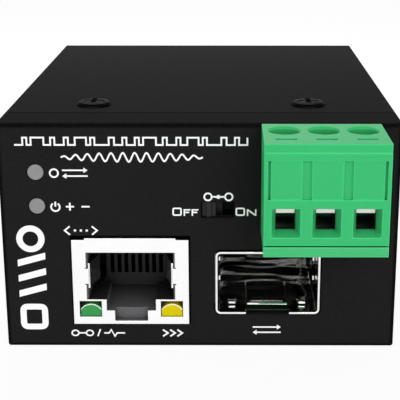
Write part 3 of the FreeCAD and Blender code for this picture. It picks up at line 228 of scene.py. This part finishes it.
zinc_grey = zinc_plate("zinc_plate")[0]
# Black zinc plate for the screw heads: painted shade on their rounded sides and a painted highlight along
# their edges.
zinc_black = coated(
    "black_zinc_plate", srgb(29, 29, 30),
    {"Grain per metre": 3000.0, "Grain depth": 0.000008, "Grain tone": 0.25, "Cloud per metre": 600.0,
     "Cloud tone": 0.2, "Edge radius": 0.00015, "Edge painted light": 0.3, "Bend painted shade": -0.8, "Roughness": 0.3,
     "Roughness spread": 0.1}, Specular_IOR_Level=0.004)[0]
dress(powder_black, "base_tray")
dress(zinc_grey, "clip_nuts")
dress(zinc_black, "base_screws")

# ---------------------------------------------------------------- standoffs, spacers and board screws
# Steel standoffs are pressed into the tray; brass hexagonal spacers screw into them through the
# main board, and short steel screws hold the power board down on the spacers.
turned_brass = coated(
    "turned_brass", srgb(214, 178, 98),
    {"Grain per metre": 1800.0, "Grain depth": 0.000005, "Grain tone": 0.12, "Cloud per metre": 300.0,
     "Cloud tone": 0.1, "Edge radius": 0.0001, "Edge painted light": 0.15, "Roughness": 0.26,
     "Roughness spread": 0.1}, Metallic=1.0)[0]
dress(zinc_grey, "board_standoffs", "board_screws")
dress(turned_brass, "board_spacers")

# ---------------------------------------------------------------- circuit boards
# Two boards of 1.6 mm glass laminate with green solder mask over copper tracks. The mask shows the
# tracks as lighter lines, the sawn edges are bare dark laminate, and small ceramic parts sit on top.
track_effect, takes, gives = new_effect(
    "Copper_tracks", {"Color": (0.0, 0.2, 0.1, 1.0), "Tracks per metre": 420.0, "Track tone": 0.9},
    {"Color": "Color"})
spot = put(track_effect, "ShaderNodeTexCoord").outputs["Object"]
second, first = [
    put(track_effect, "ShaderNodeTexVoronoi", {"Vector": spot, "Scale": takes["Tracks per metre"]},
        distance="CHEBYCHEV", feature=feature).outputs["Distance"] for feature in ("F2", "F1")]
track = ramp(track_effect, calc(track_effect, "SUBTRACT", second, first), 0.10, 0.06)
lit = calc(track_effect, "MULTIPLY_ADD", track, takes["Track tone"], 1.0)
track_effect.links.new(toned(track_effect, takes["Color"], lit), gives["Color"])

mask_green, laminate_brown = srgb(6, 38, 22), srgb(22, 22, 17)
solder_mask = coated(
    "green_solder_mask", mask_green,
    {"Grain per metre": 2400.0, "Grain depth": 0.000004, "Grain tone": 0.08, "Cloud per metre": 120.0,
     "Cloud tone": 0.1, "Edge radius": 0.0001, "Edge painted light": 0.3, "Roughness": 0.3,
     "Roughness spread": 0.08})
tree, effect = solder_mask[1:3]
tracks = put(tree, "ShaderNodeGroup", node_tree=track_effect)
tracks.inputs["Color"].default_value = mask_green


def mixed_colour(tree, share, under, over):
    """One colour under another, by the share of the one above."""
    return put(tree, "ShaderNodeMix", {"Factor": share, 6: under, 7: over}, data_type="RGBA").outputs[2]


flat_side = calc(tree, "ABSOLUTE", normal_axis(tree, "Z"))
tree.links.new(mixed_colour(tree, flat_side, laminate_brown, tracks.outputs["Color"]), effect.inputs["Color"])

# Painted shade: narrow, deep places are darkened in the colour to nearly black, because little light comes
# back out of them.
recess_shade_effect, takes, gives = new_effect(
    "Recess_painted_shade", {"Color": (0.5, 0.5, 0.5, 1.0), "Reach": 0.004, "Deep from": 0.1, "Open from": 0.6,
                    "Deepest painted shade": 0.3}, {"Color": "Color"})
open_share = put(recess_shade_effect, "ShaderNodeAmbientOcclusion", {"Distance": takes["Reach"]},
                 samples=6).outputs["AO"]
tone = ramp(recess_shade_effect, open_share, takes["Deep from"], takes["Open from"], low=takes["Deepest painted shade"])
recess_shade_effect.links.new(toned(recess_shade_effect, takes["Color"], tone), gives["Color"])


def with_painted_recess_shade(finish, reach, tone, deep, open_from):
    """Darkens a finish's colour as painted shade, to a tone where the share of open space within a reach is
    small.
    """
    material, tree, effect, shader = finish
    darkened = put(tree, "ShaderNodeGroup",
                   {"Color": effect.outputs["Color"], "Reach": reach, "Deep from": deep,
                    "Open from": open_from, "Deepest painted shade": tone}, node_tree=recess_shade_effect)
    tree.links.new(darkened.outputs["Color"], shader.inputs["Base Color"])
    return material


# painted shade on the boards, darkest under the cage and close beside parts
dress(with_painted_recess_shade(solder_mask, reach=0.006, tone=0.1, deep=0.2, open_from=0.8), "main_board", "power_board")


def piece_from(name, mesh_tool, body, *materials):
    """Makes an object of a bmesh, with its materials, riding on a body."""
    mesh = bpy.data.meshes.new(name)
    mesh_tool.to_mesh(mesh)
    mesh_tool.free()
    for material in materials:
        mesh.materials.append(material)
    made = bpy.data.objects.new(name, mesh)
    bpy.context.scene.collection.objects.link(made)
    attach(made, body)
    return made


def add_block(mesh_tool, low, high, slot=0):
    """Adds a closed box between two corners, in metres."""
    made = bmesh.ops.create_cube(mesh_tool, size=1.0)["verts"]
    size = Vector(high) - Vector(low)
    middle = (Vector(high) + Vector(low)) / 2
    for vert in made:
        vert.co = Vector((vert.co[i] * size[i] for i in range(3))) + middle
    for face in {face for vert in made for face in vert.link_faces}:
        face.material_index = slot


MM = 0.001
ceramic = coated(
    "ceramic_chip_parts", srgb(150, 116, 84),
    {"Grain per metre": 5000.0, "Grain depth": 0.00001, "Grain tone": 0.3, "Edge radius": 0.00008,
     "Edge painted light": 0.1, "Roughness": 0.5}, Specular_IOR_Level=0.4)[0]
solder = coated(
    "solder_joints", srgb(206, 206, 204),
    {"Grain per metre": 3000.0, "Grain depth": 0.00001, "Grain tone": 0.12, "Roughness": 0.28,
     "Edge radius": 0.0001}, Metallic=1.0)[0]
# a chip part's height in widths; its soldered ends in half lengths, and in its body's width and height
height_share = 0.55
cap_share, cap_reach = 0.32, 1.12
cap_side, cap_top = 1.04, 1.03


def small_parts(name, board, rows):
    """Rows of two-ended chip parts on a board: x, y, step x, step y, count, length, width."""
    mesh_tool = bmesh.new()
    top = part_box(board)[1].z
    for x, y, step_x, step_y, count, length, width in rows:
        half, side, tall = length / 2 * MM, width / 2 * MM, width * height_share * MM
        cap = half * cap_share
        for i in range(count):
            cx, cy = (x + step_x * i) * MM, (y + step_y * i) * MM
            add_block(mesh_tool, (cx - half + cap, cy - side, top), (cx + half - cap, cy + side, top + tall))
            for end in (-1, 1):
                near, far = sorted((cx + end * half * cap_reach, cx + end * (half - cap)))
                add_block(mesh_tool, (near, cy - side * cap_side, top),
                          (far, cy + side * cap_side, top + tall * cap_top), 1)
    made = piece_from(name, mesh_tool, "case", ceramic, solder)
    soft = made.modifiers.new("worn_corners", "BEVEL")
    soft.width = 0.00005
    soft.segments = 2


small_parts("main_board_small_parts", "main_board",
            [(-22.5, -2.0, 0.0, 2.2, 4, 1.6, 0.8), (-3.8, 4.0, 0.0, 1.9, 6, 1.6, 0.8),
             (-19.0, 15.5, 0.0, 0.0, 1, 2.0, 1.25), (19.0, 6.0, 0.0, 2.4, 5, 2.0, 1.25),
             (8.0, 19.0, 3.0, 0.0, 4, 2.0, 1.25)])
small_parts("power_board_small_parts", "power_board",
            [(-17.0, -4.0, 0.0, 2.4, 4, 2.0, 1.25), (2.0, -6.0, 0.0, 2.2, 4, 2.0, 1.25),
             (-12.0, 16.0, 3.2, 0.0, 6, 2.0, 1.25), (9.5, 17.0, 3.2, 0.0, 4, 3.2, 1.6)])

# ---------------------------------------------------------------- network socket
# The socket is a black moulding in a folded shell of bright tin plate, with eight gold-flashed spring
# wires and a clear tinted light guide each side of the latch channel.
tin_plate = coated(
    "bright_tin_plate", srgb(254, 254, 254),
    {"Grain per metre": 1400.0, "Grain depth": 0.000003, "Grain tone": 0.03, "Cloud per metre": 260.0,
     "Cloud tone": 0.03, "Edge radius": 0.00012, "Edge painted light": 0.0, "Roughness": 0.25,
     "Roughness spread": 0.14}, Metallic=1.0)
mouth_colour = srgb(96, 96, 98)
socket_moulding = coated(
    "socket_moulding", mouth_colour,
    {"Grain per metre": 3200.0, "Grain depth": 0.00002, "Grain tone": 0.5, "Cloud per metre": 420.0,
     "Cloud tone": 0.35, "Edge radius": 0.00012, "Edge painted light": 0.5, "Roughness": 0.4,
     "Roughness spread": 0.1}, Specular_IOR_Level=0.2)


def object_axis(tree, axis):
    """How far along one axis of the object a point of the surface is."""
    spot = put(tree, "ShaderNodeTexCoord").outputs["Object"]
    return put(tree, "ShaderNodeSeparateXYZ", {0: spot}).outputs[axis]


# painted shade: the moulding's colour darkens from the socket's mouth to the comb behind it, where less
# light reaches, and its shelves above the lights, either side of the latch channel, are darker still
mouth_depth, comb_depth, comb_painted_shade = 0.001, 0.009, 0.16
shelf_step, shelf_painted_shade = 0.0003, 0.15
tree, effect = socket_moulding[1:3]
mouth_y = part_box("jack_shield")[0].y
shelf_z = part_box("jack_green_light")[1].z
depth_painted_shade = ramp(tree, object_axis(tree, "Y"), mouth_y + mouth_depth, mouth_y + comb_depth, 1.0, comb_painted_shade)
raised = ramp(tree, object_axis(tree, "Z"), shelf_z - shelf_step, shelf_z)
shelf = calc(tree, "MULTIPLY", raised, normal_axis(tree, "Z"), use_clamp=True)
shelf_painted_shade_gain = calc(tree, "MULTIPLY_ADD", shelf, shelf_painted_shade - 1.0, 1.0)
painted_shade_colour = toned(tree, mouth_colour[:3], calc(tree, "MULTIPLY", depth_painted_shade, shelf_painted_shade_gain))
tree.links.new(painted_shade_colour, effect.inputs["Color"])
# painted shade in the moulding's narrow hollows as well
socket_black = with_painted_recess_shade(socket_moulding, reach=0.004, tone=0.0, deep=0.16, open_from=0.5)
gold_flash = coated(
    "gold_flash", srgb(226, 188, 104),
    {"Grain per metre": 2000.0, "Grain depth": 0.000003, "Grain tone": 0.06, "Edge radius": 0.00004,
     "Edge painted light": 0.1, "Roughness": 0.2}, Metallic=1.0)[0]


def tinted_guide(name, colour):
    """Light guide plastic: clear and tinted, with a painted highlight, nearly white and glowing, along the
    upper rim of its domed front.
    """
    made, tree, effect, shader = coated(
        name, colour,
        {"Grain per metre": 900.0, "Grain depth": 0.000006, "Grain tone": 0.1, "Cloud per metre": 700.0,
         "Cloud tone": 0.3, "Edge radius": 0.00035, "Edge painted light": 0.0, "Roughness": 0.3},
        Specular_IOR_Level=0.12, Subsurface_Weight=0.35, Subsurface_Radius=(1.0, 1.0, 1.0),
        Subsurface_Scale=0.0006, Emission_Strength=0.6)
    # the painted highlight: upward-facing corners of the dome get a near white colour and a glow
    upward = put(tree, "ShaderNodeSeparateXYZ", {0: effect.outputs["Normal"]}).outputs["Z"]
    painted_rim_highlight = calc(tree, "MULTIPLY", ramp(tree, upward, 0.1, 0.3), effect.outputs["Edge"])
    highlight_white, no_glow = srgb(236, 244, 236), srgb(0, 0, 0)
    for tint, target in ((effect.outputs["Color"], "Base Color"), (no_glow, "Emission Color")):
        tree.links.new(mixed_colour(tree, painted_rim_highlight, tint, highlight_white), shader.inputs[target])
    return made


# painted shade on the shield's springs and inner faces, where they fold into the socket
dress(with_painted_recess_shade(tin_plate, reach=0.006, tone=0.25, deep=0.3, open_from=0.75), "jack_shield")
dress(socket_black, "jack_housing")
dress(gold_flash, "jack_contacts")
dress(tinted_guide("green_light_guide", srgb(62, 156, 84)), "jack_green_light")
dress(tinted_guide("yellow_light_guide", srgb(222, 204, 0)), "jack_yellow_light")

# ---------------------------------------------------------------- optical module port
# A cage of thin nickel-plated sheet, folded and closed along its floor, with a spring collar that
# earths it to the panel. At its back a black moulding holds two rows of gold contact blades.
nickel_sheet = coated(
    "nickel_sheet", srgb(246, 246, 244),
    {"Grain per metre": 1600.0, "Grain depth": 0.000005, "Grain tone": 0.08, "Cloud per metre": 220.0,
     "Cloud tone": 0.08, "Edge radius": 0.0001, "Edge painted light": 0.05, "Roughness": 0.07,
     "Roughness spread": 0.06}, Metallic=1.0)
# rolling leaves the sheet a little wavy along its length, so it reflects in long streaks
rolled_waves, wave_depth = (110.0, 260.0, 260.0), 0.0004
tree, effect, shader = nickel_sheet[1:]
spot = put(tree, "ShaderNodeTexCoord").outputs["Object"]
rolled = put(tree, "ShaderNodeMapping", {"Vector": spot, "Scale": rolled_waves}).outputs["Vector"]
buckle = put(tree, "ShaderNodeTexNoise", {"Vector": rolled, "Scale": 1.0, "Detail": 1.0}).outputs["Fac"]
waved = put(tree, "ShaderNodeBump", {"Height": buckle, "Distance": wave_depth, "Strength": 1.0,
                                     "Normal": effect.outputs["Normal"]}).outputs["Normal"]
tree.links.new(waved, shader.inputs["Normal"])
# painted shade: the cage's inside is darkened deeper in, away from its open mouth
dress(with_painted_recess_shade(nickel_sheet, reach=0.010, tone=0.16, deep=0.0, open_from=0.4),
      "sfp_cage", "sfp_spring_collar")
# connector moulding: a strong painted highlight along its corners and painted shade in its hollows
deep_black = with_painted_recess_shade(coated(
    "connector_moulding", srgb(34, 34, 36),
    {"Grain per metre": 3600.0, "Grain depth": 0.00001, "Grain tone": 0.2, "Cloud per metre": 300.0,
     "Cloud tone": 0.15, "Edge radius": 0.0001, "Edge painted light": 0.8, "Roughness": 0.45,
     "Roughness spread": 0.1}, Specular_IOR_Level=0.2), reach=0.004, tone=0.0, deep=0.1, open_from=0.6)
dress(deep_black, "sfp_connector")
dress(gold_flash, "sfp_contacts")

# ---------------------------------------------------------------- parts on the main board
# A black moulded line transformer, the square converter chip, a drawn crystal can and the pin strip
# that carries power down from the upper board.
package_black = coated(
    "moulded_packages", srgb(42, 42, 43),
    {"Grain per metre": 6000.0, "Grain depth": 0.00001, "Grain tone": 0.3, "Cloud per metre": 300.0,
     "Cloud tone": 0.12, "Edge radius": 0.0001, "Edge painted light": 0.5, "Roughness": 0.6,
     "Roughness spread": 0.08})[0]
drawn_can = coated(
    "drawn_metal_can", srgb(210, 210, 212),
    {"Grain per metre": 2200.0, "Grain depth": 0.000004, "Grain tone": 0.08, "Cloud per metre": 500.0,
     "Cloud tone": 0.08, "Edge radius": 0.0003, "Edge painted light": 0.1, "Roughness": 0.3,
     "Roughness spread": 0.1}, Metallic=1.0)[0]
dress(package_black, "lan_transformer", "converter_chip")
dress(drawn_can, "clock_crystal")
dress(deep_black, "link_socket", "link_header")
dress(gold_flash, "link_pins")

# ---------------------------------------------------------------- parts on the power board
# A shielded coil, three electrolytic cans in printed sleeves, a bridge rectifier, a small regulator
# chip and a boxed fuse make the board's supply from the terminal's input.
dress(package_black, "power_inductor", "polarity_bridge", "power_chip", "input_fuse")
dress(drawn_can, "smoothing_capacitors")

# ---------------------------------------------------------------- terminal header, switch and lights
# The green shroud, the slide switch and the black holder of the two lights stand along the power
# board's front edge and reach through the panel.
tinned_pins = coated(
    "tinned_pins", srgb(214, 214, 210),
    {"Grain per metre": 1800.0, "Grain depth": 0.000004, "Grain tone": 0.08, "Edge radius": 0.00006,
     "Edge painted light": 0.05, "Roughness": 0.28}, Metallic=1.0)[0]


def green_moulding(name, colour):
    """Terminal plastic: satin green, a little see-through, with painted highlights along its edges and
    painted shade that makes it nearly black down in its holes.
    """
    return with_painted_recess_shade(coated(
        name, colour,
        {"Grain per metre": 3000.0, "Grain depth": 0.000005, "Grain tone": 0.05, "Cloud per metre": 160.0,
         "Cloud tone": 0.08, "Edge radius": 0.0003, "Edge painted light": 0.8, "Roughness": 0.36,
         "Roughness spread": 0.1}, Specular_IOR_Level=0.05, Subsurface_Weight=0.12,
        Subsurface_Radius=(0.3, 1.0, 0.5), Subsurface_Scale=0.0008),
        reach=0.004, tone=0.03, deep=0.1, open_from=0.34)


terminal_green = green_moulding("terminal_green_moulding", srgb(60, 182, 112))
lamp_grey = coated(
    "unlit_lamp", srgb(136, 136, 136),
    {"Grain per metre": 2600.0, "Grain depth": 0.000006, "Grain tone": 0.1, "Cloud per metre": 500.0,
     "Cloud tone": 0.3, "Edge radius": 0.0002, "Edge painted light": -0.15, "Roughness": 0.4},
    Specular_IOR_Level=0.3)[0]
# The knob carries a strong painted highlight along its corners and ridge, and painted shade where it sits
# deep in the switch frame.
knob_black = with_painted_recess_shade(coated(
    "switch_knob_moulding", srgb(35, 35, 36),
    {"Grain per metre": 3000.0, "Grain depth": 0.00001, "Grain tone": 0.2, "Edge radius": 0.00012,
     "Edge painted light": 1.2, "Roughness": 0.35}, Specular_IOR_Level=0.2),
    reach=0.005, tone=0.0, deep=0.3, open_from=0.9)
dress(terminal_green, "terminal_header")
dress(tinned_pins, "header_pins", "indicator_leads")
dress(deep_black, "switch_frame", "indicator_block")
dress(knob_black, "switch_knob")
dress(lamp_grey, "power_light", "fibre_light")

# ---------------------------------------------------------------- front panel and its print
# The panel is a powder-coated pan of the same sheet. Its marks are screen printed in white ink:
# plain signs beside each socket and light, ON and OFF at the switch, and a bold upright emblem.
# Places and line widths of the print are in millimetres on the panel.
dress(powder_black, "front_panel")
panel_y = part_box("front_panel")[0].y
ink_white = coated(
    "white_screen_ink", srgb(250, 250, 250),
    {"Grain per metre": 7000.0, "Grain depth": 0.000004, "Grain tone": 0.05, "Cloud per metre": 900.0,
     "Cloud tone": 0.06, "Edge radius": 0.00002, "Edge painted light": 0.0, "Roughness": 0.6},
    Specular_IOR_Level=0.3)[0]
ink_thick = 0.03 * MM
line, fine_line = 0.23, 0.21


def stroke(points, width, closed=False):
    """The left and right sides of a printed line through (x, z) points, joined as quads."""
    count = len(points)
    left, right = [], []
    for i, (x, z) in enumerate(points):
        before = points[i - 1] if i or closed else None
        after = points[(i + 1) % count] if i + 1 < count or closed else None
        normals = []
        for a, b in ((before, (x, z)), ((x, z), after)):
            if a is not None and b is not None:
                run = math.hypot(b[0] - a[0], b[1] - a[1])
                normals.append(((a[1] - b[1]) / run, (b[0] - a[0]) / run))
        nx = sum(n[0] for n in normals) / len(normals)
        nz = sum(n[1] for n in normals) / len(normals)
        reach = width / 2 / max(nx * nx + nz * nz, 0.3)
        left.append((x + nx * reach, z + nz * reach))
        right.append((x - nx * reach, z - nz * reach))
    last = count if closed else count - 1
    return [[left[i], left[(i + 1) % count], right[(i + 1) % count], right[i]] for i in range(last)]


def ring(x, z, wide, tall, width, power=2.0, turns=28):
    """A closed printed loop, round at power 2 and squarer above it."""
    points = []
    for i in range(turns):
        a = math.tau * i / turns
        c, s = math.cos(a), math.sin(a)
        points.append((x + wide / 2 * math.copysign(abs(c) ** (2 / power), c),
                       z + tall / 2 * math.copysign(abs(s) ** (2 / power), s)))
    return stroke(points, width, True)


def disc(x, z, radius, turns=20):
    """A filled printed dot."""
    return [[(x + radius * math.cos(math.tau * i / turns), z + radius * math.sin(math.tau * i / turns))
             for i in range(turns)]]


def print_mark(name, polygons):
    """A printed mark of flat (x, z) shapes in mm, built as a thin raised layer of ink on the panel."""
    mesh_tool = bmesh.new()
    for polygon in polygons:
        mesh_tool.faces.new([mesh_tool.verts.new((x * MM, panel_y - ink_thick, z * MM)) for x, z in polygon])
    bmesh.ops.remove_doubles(mesh_tool, verts=mesh_tool.verts, dist=0.0005 * MM)
    fronts, rims = mesh_tool.faces[:], [edge for edge in mesh_tool.edges if edge.is_boundary]
    under = {vert: mesh_tool.verts.new((vert.co.x, panel_y + ink_thick, vert.co.z))
             for vert in mesh_tool.verts[:]}
    for face in fronts:
        mesh_tool.faces.new([under[vert] for vert in face.verts])
    for start, end in [edge.verts for edge in rims]:
        mesh_tool.faces.new([start, end, under[end], under[start]])
    bmesh.ops.recalc_face_normals(mesh_tool, faces=mesh_tool.faces)
    piece_from(name, mesh_tool, "case", ink_white)


# the long pulse train across the top, and the wave below it
pulse_widths = (1.1, 0.55, 0.55, 1.7, 0.9, 0.55, 1.25, 0.55, 0.9, 1.5, 0.55, 0.55, 1.9, 0.7, 1.1, 0.55)
pulse_start, pulse_end, last_step = -24.5, 6.6, 0.6
pulse_low, pulse_high = 29.3, 30.3
points = [(pulse_start, pulse_low)]
while points[-1][0] < pulse_end - last_step:
    steps = len(points) // 2
    x = points[-1][0] + min(pulse_widths[steps % len(pulse_widths)], pulse_end - points[-1][0])
    points += [(x, points[-1][1]), (x, pulse_low if steps % 2 else pulse_high)]
print_mark("pulse_train_mark", stroke(points, line))
wave_start, wave_reach, wave_z, wave_height = -18.4, 18.9, 27.6, 0.62
wave_points, points_a_wave = 180, 15
wave = []
for i in range(wave_points + 1):
    swell = wave_height * max(math.sin(math.pi * i / wave_points), 0.0) ** 0.5
    wave.append((wave_start + wave_reach * i / wave_points,
                 wave_z + swell * math.sin(math.tau * i / points_a_wave)))
print_mark("light_wave_mark", stroke(wave, line))


def arrow(x, z, reach, head=0.55, width=fine_line):
    """A flat arrow from (x, z), pointing along +X for a positive reach."""
    half, wing = width / 2, head * 0.7
    back = x + reach - math.copysign(head, reach)
    return [[(x, z - half), (back, z - half), (back, z - wing), (x + reach, z), (back, z + wing),
             (back, z + half), (x, z + half)]]


def outline_at(x, z, corners):
    """One printed shape of corners given from (x, z)."""
    return [[(x + across, z + up) for across, up in corners]]


def plus(x, z, span, width):
    """A plus sign about (x, z)."""
    a, b = span / 2, width / 2
    return outline_at(x, z, ((-a, -b), (-b, -b), (-b, -a), (b, -a), (b, -b), (a, -b),
                             (a, b), (b, b), (b, a), (-b, a), (-b, b), (-a, b)))


def chevron(x, z, reach=0.7, half=0.5, width=line):
    """A chevron with its arms' ends above and below (x, z) and its tip a reach along X from it."""
    return stroke([(x, z + half), (x + reach, z), (x, z - half)], width)


# beside the upper light: two arrows of light; beside the lower light: the stand-by sign
sign_x, upper_z, lower_z = -19.4, 25.4, 20.7
print_mark("fibre_light_mark", ring(sign_x, upper_z, 1.1, 1.1, line) + arrow(-18.3, upper_z + 0.4, 3.4)
           + arrow(-14.9, upper_z - 0.4, -3.4))
open_radius, open_drop, open_start, open_turn, open_steps = 0.58, 0.05, 35, 290, 20
open_ring = [(sign_x + open_radius * math.sin(turn), lower_z - open_drop + open_radius * math.cos(turn))
             for turn in [math.radians(open_start + open_turn * i / open_steps)
                          for i in range(open_steps + 1)]]
print_mark("power_light_mark", stroke(open_ring, line) + stroke([(sign_x, lower_z), (sign_x, 21.4)], line)
           + plus(-17.45, lower_z, 1.1, line) + stroke([(-15.9, lower_z), (-14.8, lower_z)], line))
# above the switch: two rings linked through a dot
link_z = 22.1
print_mark("link_pass_mark", ring(1.15, link_z, 1.0, 1.0, line) + ring(3.95, link_z, 1.0, 1.0, line)
           + stroke([(1.77, link_z), (2.28, link_z)], line) + stroke([(2.82, link_z), (3.33, link_z)], line)
           + disc(2.55, link_z, 0.28))


def letter_o(x, z, wide, tall, width):
    """The letter O on its baseline."""
    return ring(x + wide / 2, z + tall / 2, wide - width, tall - width, width, 7.0, 40)


def letter_f(x, z, wide, tall, width):
    """The letter F on its baseline."""
    low, high, short = tall * 0.52 - width / 2, tall * 0.52 + width / 2, wide * 0.82
    return outline_at(x, z, ((0, 0), (width, 0), (width, low), (short, low), (short, high), (width, high),
                             (width, tall - width), (wide, tall - width), (wide, tall), (0, tall)))


def letter_n(x, z, wide, tall, width):
    """The letter N on its baseline."""
    right, slant = wide - width, width * 1.35
    return outline_at(x, z, ((0, 0), (width, 0), (width, tall - slant), (right, 0), (wide, 0), (wide, tall),
                             (right, tall), (right, slant), (width, tall), (0, tall)))


# either side of the switch: the words OFF and ON, with a tall first letter
off_x, on_x, word_z = -3.66, 4.86, 19.42
first_size, next_tall, next_line = (1.28, 1.16, fine_line), 0.94, 0.19
print_mark("off_word", letter_o(off_x, word_z, *first_size)
           + letter_f(off_x + 1.52, word_z, 0.92, next_tall, next_line)
           + letter_f(off_x + 2.6, word_z, 0.92, next_tall, next_line))
print_mark("on_word", letter_o(on_x, word_z, *first_size)
           + letter_n(on_x + 1.52, word_z, 1.3, next_tall, next_line))
# above the network socket: the port sign of dots between angle brackets
port_z = 17.3
print_mark("network_port_mark", chevron(-17.6, port_z, -0.7, 0.6) + chevron(-14.6, port_z, 0.7, 0.6)
           + disc(-16.9, port_z, 0.17) + disc(-16.1, port_z, 0.17) + disc(-15.3, port_z, 0.17))
# below the socket's lights: a linked chain with its pulse, and three chevrons for the fast lane
low_z = 2.2
pulse = [(-13.4, low_z), (-12.7, low_z), (-12.4, 2.7), (-11.9, 1.7), (-11.6, low_z), (-10.5, low_z)]
print_mark("link_activity_mark", ring(-17.4, low_z, 0.95, 0.8, fine_line)
           + stroke([(-16.82, low_z), (-15.98, low_z)], fine_line) + ring(-15.4, low_z, 0.95, 0.8, fine_line)
           + stroke([(-14.3, 1.7), (-13.9, 2.75)], fine_line) + stroke(pulse, fine_line))
print_mark("fast_speed_mark", chevron(-5.2, low_z) + chevron(-4.2, low_z) + chevron(-3.2, low_z))
# below the module port: light out and light in
print_mark("module_port_mark", arrow(7.3, 3.12, 3.9) + arrow(11.2, 2.33, -3.9))
# the bold emblem up the left side: a ring, three leaning bars and a square ring
emblem_x, emblem_size, bold_line = -23.0, 3.0, 0.85
emblem = ring(emblem_x, 16.1, emblem_size, emblem_size, bold_line)
emblem += ring(emblem_x, 4.65, emblem_size, emblem_size, bold_line, 6.0, 32)
for bar_z in (7.6, 9.85, 12.1):
    emblem += outline_at(emblem_x, bar_z, ((-1.9, 0.0), (-1.9, 0.95), (1.9, 2.0), (1.9, 1.05)))
print_mark("emblem_mark", emblem)

# ---------------------------------------------------------------- top cover and its screws
# The cover is one folded sheet over the top and both sides, held by two low-headed screws behind the
# front seam and one in each side. Its coat is made a shade lighter than the panel's as painted light, for the
# brighter light on the top.
dress(powder_coat("powder_coat_cover_painted_lighter", srgb(36, 36, 36)), "top_cover")
dress(zinc_black, "cover_screws")

# ---------------------------------------------------------------- plug-in terminal
# The pluggable half is a green moulding with a snapped-in lid below. Inside each of its three cells a
# zinc-plated clamp rides on a slotted screw round a tinned current bar.
dress(terminal_green, "plug_housing")
dress(green_moulding("terminal_lid_moulding", srgb(72, 184, 118)), "plug_base")
dress(tinned_pins, "plug_contacts")
# painted shade down in the terminal's cells, over the clamps and their screws
clamp_zinc = with_painted_recess_shade(zinc_plate("clamp_zinc_plate"), reach=0.004, tone=0.02, deep=0.2, open_from=0.6)
for number in (1, 2, 3):
    dress(clamp_zinc, "clamp_screw_%d" % number, "clamp_cage_%d" % number)

# ---------------------------------------------------------------- studio
# A pale floor under an even white surround, both shown nearly white. A wide lamp to the right and a
# fill to the left light the panel, and a small lamp above the rear makes the top fade to the front.
floor_half, floor_gap = 3.0, 0.00002
floor_mesh = bmesh.new()
bmesh.ops.create_grid(floor_mesh, x_segments=1, y_segments=1, size=floor_half)
for vert in floor_mesh.verts:
    vert.co.z = cad_box[0].z - floor_gap
mesh = bpy.data.meshes.new("studio_floor")
floor_mesh.to_mesh(mesh)
floor_mesh.free()
floor = bpy.data.objects.new("studio_floor", mesh)
bpy.context.scene.collection.objects.link(floor)


def seen_directly(tree):
    """1 for what the camera, a mirror or a glass sees, 0 for what lights the object."""
    rays = put(tree, "ShaderNodeLightPath").outputs
    mirrored = calc(tree, "MAXIMUM", rays["Is Camera Ray"], rays["Is Glossy Ray"])
    return calc(tree, "MAXIMUM", mirrored, rays["Is Transmission Ray"])


floor_material = bpy.data.materials.new("pale_floor")
floor_material.use_nodes = True
tree = floor_material.node_tree
tree.nodes.clear()
white_share, pale, white = 0.94, (0.82, 0.82, 0.82, 1.0), (1.0, 1.0, 1.0, 1.0)
paint = put(tree, "ShaderNodeBsdfDiffuse", {"Color": pale})
glow = put(tree, "ShaderNodeEmission", {"Color": white, "Strength": 1.0})
mixed = put(tree, "ShaderNodeMixShader", {0: calc(tree, "MULTIPLY", seen_directly(tree), white_share),
                                          1: paint.outputs["BSDF"], 2: glow.outputs["Emission"]})
put(tree, "ShaderNodeOutputMaterial", {"Surface": mixed.outputs["Shader"]})
mesh.materials.append(floor_material)

surround_light = 0.58
world = bpy.data.worlds.new("white_surround")
bpy.context.scene.world = world
world.use_nodes = True
tree = world.node_tree
tree.nodes.clear()
level = ramp(tree, seen_directly(tree), 0.0, 1.0, low=surround_light)
surround = put(tree, "ShaderNodeBackground", {"Color": white, "Strength": level})
put(tree, "ShaderNodeOutputWorld", {"Surface": surround.outputs["Background"]})


def lamp(name, place, aim, size, power):
    """A square soft lamp, turned from its place to what it lights."""
    data = bpy.data.lights.new(name, "AREA")
    data.size = size
    data.energy = power
    made = bpy.data.objects.new(name, data)
    made.location = place
    made.rotation_euler = (Vector(aim) - Vector(place)).to_track_quat("-Z", "Y").to_euler()
    bpy.context.scene.collection.objects.link(made)


lamp("key_lamp", place=(0.20, -0.50, 0.22), aim=(0.0, -0.02, 0.015), size=0.35, power=1.2)
lamp("front_fill", place=(-0.22, -0.58, 0.16), aim=(0.0, 0.0, 0.015), size=0.45, power=0.85)
lamp("back_lamp", place=(-0.02, 0.12, 0.14), aim=(-0.02, 0.16, 0.0), size=0.12, power=0.34)

bpy.context.scene.view_settings.view_transform = "Standard"
